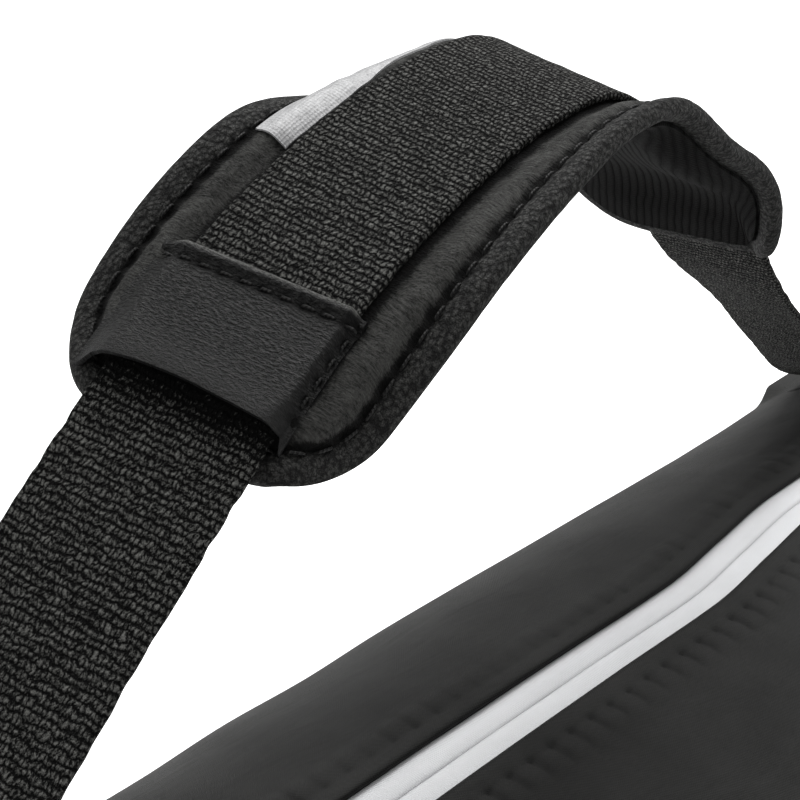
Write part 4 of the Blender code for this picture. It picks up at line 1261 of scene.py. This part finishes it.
def stitches(name, seam, pitch, finish, length, radius, sunk=0.0002):
    """Thread stitches, one at each of a seam's centres: a short tube of that radius that rises in an arc out
    of one hole and down into the next. length is the share of the pitch that shows."""
    centres, along, out = seam
    count = len(centres)
    t = np.linspace(-1, 1, 9)
    turn = np.linspace(0, 2 * np.pi, 8)[:-1]
    arch = radius * 1.25 * (1 - np.abs(t) ** 3) - sunk - 0.0004 * np.abs(t) ** 8
    slim = (radius * (1 - 0.35 * np.abs(t) ** 4))[:, None]
    run = t * pitch * length / 2
    side = unit(np.cross(out, along))[:, None, None]
    base = centres[:, None] + along[:, None] * run[None, :, None] + out[:, None] * arch[None, :, None]
    ring = (slim * np.cos(turn))[..., None], (slim * np.sin(turn))[..., None]
    points = base[:, :, None] + side * ring[0] + out[:, None, None] * ring[1]
    rows, columns = len(t), len(turn)
    per = rows * columns
    i, j = quads(rows, columns, wrap_columns=True)
    one = i * columns + j % columns
    listed = (one[None] + (np.arange(count) * per)[:, None, None]).reshape(-1, 4).tolist()
    for first in range(0, count * per, per):
        listed.append(list(range(first + columns - 1, first - 1, -1)))
        listed.append(list(range(first + per - columns, first + per)))
    mesh = bpy.data.meshes.new(name)
    mesh.from_pydata(points.reshape(-1, 3).tolist(), [], listed)
    if inside_out(points[0].reshape(-1, 3), one):
        mesh.flip_normals()
    layer = mesh.uv_layers.new(name="cloth")
    index = np.empty(len(mesh.loops), np.int32)
    mesh.loops.foreach_get("vertex_index", index)
    u = np.repeat(run, columns)[index % per] + (index // per) * 0.0137
    v = np.tile(turn / (2 * np.pi), rows)[index % per]
    layer.data.foreach_set("uv", np.stack([u, v], -1).astype(np.float32).ravel())
    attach(placed(name, mesh, finish), "bag")


def seam_along(place, x, y, height, pitch):
    """(centres, along, out) of stitches at even lengths along the line of place(x, y, height)."""
    height = np.broadcast_to(height, x.shape)
    length = lengths_along(place(x, y, height))
    at = (np.arange(int(length[-1] / pitch)) + 0.5) * pitch
    x_at, y_at, height_at = (np.interp(at, length, row) for row in (x, y, height))
    centre = place(x_at, y_at, height_at)
    ahead = [np.interp(at + 0.0005, length, row) for row in (x, y)]
    along = unit(place(*ahead, height_at) - centre)
    out = unit(place(x_at, y_at, height_at + 0.001) - centre)
    return centre, along, unit(out - along * (out * along).sum(-1, keepdims=True))


def add_pad_stitches(thread):
    """The row round the pad, and each sleeve's row along its hem and down its near edge."""
    s, w, _, _, _ = outline_path(ROW_INSET, 0.0010)
    s, w = np.append(s, s[0]), np.append(w, w[0])
    seam = seam_along(pad_point, s, w, CORE_TOP - 0.00030, ROW_PITCH)
    stitches("pad_edge_stitches", seam, ROW_PITCH, thread, length=0.66, radius=0.00032)
    for suffix, mirrored in (("near", False), ("far", True)):
        w = np.linspace(SLEEVE_FAR - 0.0012, SLEEVE_NEAR + 0.0012, 90)
        s = sleeve_top(w) - SLEEVE_ROW
        h = SLEEVE_FLOOR + (SLEEVE_CEILING - SLEEVE_FLOOR) * sleeve_rise(w) - 0.0005
        down = np.linspace(s[-1] - 0.002, SLEEVE_MOUTH + 0.0010, 40)
        s, w = np.append(s, down), np.append(w, np.full_like(down, SLEEVE_SIDE_ROW))
        h = np.append(h, np.full_like(down, SLEEVE_FLOOR + 0.0001))
        s = PAD_LENGTH - s if mirrored else s
        seam = seam_along(pad_point, s, w, h, SLEEVE_PITCH)
        stitches("sleeve_stitches_" + suffix, seam, SLEEVE_PITCH, thread, length=0.72, radius=0.00036)


def add_zip_stitches(thread):
    x = np.arange(-ZIP_HALF, ZIP_HALF, 0.004)
    for suffix, side in (("near", -1), ("far", 1)):
        angle = side * np.full_like(x, crest_angle(ZIP_WIDTH / 2 + ZIP_ROW))
        seam = seam_along(dome_place, x, angle, -0.00010, ZIP_PITCH)
        stitches("zip_stitches_" + suffix, seam, ZIP_PITCH, thread, length=0.62, radius=0.00022)


# The zip

def add_zip(finish):
    """Two tapes, from the joint at the crest out to under the folded cloth. Each dips at the joint."""
    x = np.linspace(-ZIP_HALF, ZIP_HALF, 460)[:, None]
    d = np.concatenate([[0.0, 0.0003, 0.0006, 0.0010, 0.0015], np.linspace(0.0022, 0.0086, 7)])[None, :]
    # Painted shade on each tape's outer edge, under the folded cloth.
    depth = step_up(d, ZIP_WIDTH / 2 - 0.0012, ZIP_WIDTH / 2 - 0.0002) * np.ones_like(x)
    painted_shading = np.concatenate([depth, depth[:, ::-1]], axis=1)
    for name, side in (("zip_tape_near", -1), ("zip_tape_far", 1)):
        lift = -0.0006 * np.exp(-d / 0.0008) + 0.00045 * hill(d, 0.0036, 0.003)
        lift = lift + 0.00012 * cloudy(x, d * 0, 51 + side, 0.02)
        point, _, _, out = crest_frame(x, side * crest_angle(d) * np.ones_like(x))
        upper, lower = point + out * lift[..., None], (point - out * 0.0012)[:, ::-1]
        closed_sheet(name, upper, lower, x, side * d, finish, painted_shading, 60.0)


# Anchors and the haul handle

def patch_height(u, v):
    """The height of a sewn patch over the dome, at u and v from its middle: flat, with round shoulders."""
    inside = inside_rounded(u, v, PATCH_LENGTH, PATCH_WIDTH, PATCH_CORNER)
    return GAP + PATCH_THICK * np.sqrt(np.clip(1 - (1 - np.clip(inside / PATCH_THICK, 0, 1)) ** 2, 0, 1))


def add_patch(name, x, angle, heading, finish):
    """A sewn patch with rounded corners that follows the dome under the webbing's end."""
    middle = x + heading * SEWN_LENGTH / 2
    corner = PATCH_LENGTH / 2 - PATCH_CORNER
    ends = corner + PATCH_CORNER * np.cos(np.radians(np.linspace(4.0, 90.0, 12)))
    u = np.concatenate([-ends, np.linspace(-corner, corner, 16)[1:-1], ends[::-1]])[:, None]
    past = np.maximum(np.abs(u) - corner, 0.0)
    half = PATCH_WIDTH / 2 - PATCH_CORNER + np.sqrt(np.maximum(PATCH_CORNER**2 - past**2, 0.0))
    v = half * np.sin(np.linspace(-np.pi / 2, np.pi / 2, 31))[None, :]
    point, _, _, out = crest_frame(middle + u + 0 * v, angle + v / dome_rate(middle, angle))
    upper = point + out * patch_height(u, v)[..., None]
    lower = (point + out * (GAP * 0.5))[:, ::-1]
    return closed_sheet(name, upper, lower, u, v, finish)


def add_anchor_stitches(name, x, angle, heading, thread):
    """A sewn box with a cross in it, through the webbing's end."""
    lift = PATCH_TOP + WEBBING_THICK + 0.0001
    middle = x + heading * (SEWN_LENGTH / 2 + 0.001)
    rate = dome_rate(middle, angle)
    a, b = SEWN_LENGTH / 2 - 0.004, WEBBING_WIDTH / 2 - 0.004
    box = [(-a, -b), (a, -b), (a, b), (-a, b), (-a, -b)]
    lines = [*zip(box, box[1:]), ((-a, -b), (a, b)), ((a, -b), (-a, b))]
    t = np.linspace(0, 1, 40)
    parts = []
    for (u0, v0), (u1, v1) in lines:
        x_line, angle_line = middle + u0 + (u1 - u0) * t, angle + (v0 + (v1 - v0) * t) / rate
        parts.append(seam_along(dome_place, x_line, angle_line, lift, ANCHOR_PITCH))
    seam = [np.concatenate(rows) for rows in zip(*parts)]
    stitches(name, seam, ANCHOR_PITCH, thread, length=0.75, radius=0.00040, sunk=0.0001)


def handle_seat(z):
    """The place along X of a strap that lies on the nose's end face at this height."""
    middle = BAG_HEIGHT / 2
    share = np.minimum(np.abs(z - middle) / (middle - END_ROUND), 1.0)
    return HALF_LENGTH + END_BULGE * (1 - share**2) + GAP + HANDLE_THICK / 2


def handle_line():
    """(x, z) down the haul handle's middle: a foot, the loop, and a foot."""
    middle = BAG_HEIGHT / 2
    share = np.linspace(0, 1, 120)
    z = middle + HANDLE_SPAN * (0.5 - share)
    crown = HALF_LENGTH + HANDLE_REACH - HANDLE_THICK / 2
    loop_x = handle_seat(z) + (crown - handle_seat(z)) * np.sin(np.pi * share) ** 1.5
    upper = np.linspace(middle + HANDLE_SPAN / 2 + HANDLE_FOOT, middle + HANDLE_SPAN / 2, 16)[:-1]
    lower = np.linspace(middle - HANDLE_SPAN / 2, middle - HANDLE_SPAN / 2 - HANDLE_FOOT, 16)[1:]
    x = np.concatenate([handle_seat(upper), loop_x, handle_seat(lower)])
    return x + CENTRE_SHIFT, np.concatenate([upper, z, lower])


def add_haul_handle(finish):
    """A webbing loop on the nose: a flat band carried down its line, from one sewn foot to the other."""
    x, z = handle_line()
    line = np.stack([x, np.zeros_like(x), z], -1)
    length = lengths_along(line)
    even = np.linspace(0, length[-1], 190)
    place = resample(even, length, line)
    side = np.array([0.0, 1.0, 0.0]) * np.ones_like(place)
    out = unit(np.cross(unit(np.gradient(place, axis=0)), side))
    w, h = band_ring(HANDLE_WIDTH / 2, HANDLE_THICK, 26)
    return add_band("haul_handle", (place, side, out), even, (w, h), w[None, :], h[None, :], finish)


# Stage, lights and camera

def add_stage():
    """A white floor, two soft lights and a pale surrounding."""
    reach = 9.0
    corners = np.array([[[-1, -1, 0], [1, -1, 0]], [[-1, 1, 0], [1, 1, 0]]], float)
    floor = surface("floor", corners * reach, np.zeros((2, 2, 2)), floor_finish())
    target = Vector((0.0, 0.0, 0.3))
    for name, place, size, power in (
        ("overhead_softbox", (0.9, 0.3, 2.1), 2.0, 64.0),
        ("left_softbox", (-1.2, 1.5, 1.5), 1.2, 14.0),
    ):
        light = bpy.data.lights.new(name, "AREA")
        light.shape = "SQUARE"
        light.size = size
        light.energy = power
        lamp = bpy.data.objects.new(name, light)
        bpy.context.scene.collection.objects.link(lamp)
        lamp.location = place
        lamp.rotation_euler = (target - Vector(place)).to_track_quat("-Z", "Y").to_euler()
    world = bpy.data.worlds.new("studio")
    world.use_nodes = True
    backdrop = world.node_tree.nodes["Background"]
    backdrop.inputs[0].default_value = (1.0, 1.0, 1.0, 1.0)
    backdrop.inputs[1].default_value = WORLD_LIGHT
    bpy.context.scene.world = world
    bpy.context.scene.view_settings.view_transform = "Standard"


def add_camera():
    """The photograph's camera: its place, and the directions ahead, right and up."""
    place = Vector((-0.2933, -0.2021, 0.5675))
    ahead = Vector((0.6776, 0.6095, -0.4115)).normalized()
    right = Vector((0.669, -0.7433, 0.0)).normalized()
    up = right.cross(ahead)
    data = bpy.data.cameras.new("photo_camera")
    data.sensor_width = SENSOR_WIDTH
    data.lens = PHOTO_FOCUS / PHOTO_WIDTH * SENSOR_WIDTH
    data.clip_start = 0.01
    camera = bpy.data.objects.new("photo_camera", data)
    bpy.context.scene.collection.objects.link(camera)
    camera.matrix_world = Matrix.Translation(place) @ Matrix((right, up, -ahead)).transposed().to_4x4()
    bpy.context.scene.camera = camera


def restyle_hard_pieces():
    """The hard pieces keep their solid shapes and get finished materials."""
    finishes = {
        moulded_finish("black_plastic", 0.010, 0.030, 0.42): ("wheel_housing",),
        moulded_finish("hub_plastic", 0.06, 0.11, 0.36): ("wheel_hub_near", "wheel_hub_far"),
        tyre_finish(): ("wheel_tyre_near", "wheel_tyre_far"),
        metal_finish("axle_steel", 0.30, 0.52, 0.26): ("wheel_axle",),
        metal_finish("dark_zip_metal", 0.05, 0.11, 0.30): ("zip_slider", "zip_pull"),
    }
    for finish, names in finishes.items():
        for name in names:
            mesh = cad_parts[name].data
            mesh.materials.clear()
            mesh.materials.append(finish)


def main():
    add_camera()
    add_stage()
    restyle_hard_pieces()
    webbing, thread, leather = webbing_finish(), thread_finish(), leather_finish()
    cloth = bag_finish("bag_cloth", 0.0055, 0.0165, 0.00036, 0.00005)
    base_cloth = bag_finish("base_cloth", 0.0045, 0.0130, 0.0011, 0.00018)
    add_side_panel("side_panel_near", -1, cloth)
    add_side_panel("side_panel_far", 1, cloth)
    add_base_panel(base_cloth)
    add_end_panel("end_panel_nose", 1, cloth)
    add_end_panel("end_panel_wheels", -1, cloth)
    add_zip(zip_finish())
    add_zip_stitches(thread)
    add_pad({"suede": suede_finish(), "lining": lining_finish(), "rim": rim_finish()})
    add_strip(reflective_finish())
    add_webbing(webbing)
    add_sleeve("pad_sleeve_near", False, leather)
    add_sleeve("pad_sleeve_far", True, leather)
    add_pad_stitches(thread)
    anchors = ("near", NEAR_ANCHOR_X, NEAR_ANCHOR_ANGLE, -1), ("far", FAR_ANCHOR_X, FAR_ANCHOR_ANGLE, 1)
    for suffix, x, angle, heading in anchors:
        add_patch("strap_anchor_" + suffix, x, angle, heading, cloth)
    for suffix, x, angle, heading in anchors:
        add_anchor_stitches("anchor_stitches_" + suffix, x, angle, heading, thread)
    add_haul_handle(webbing)


SPINE = strap_spine()
AXES = strap_axes()
main()
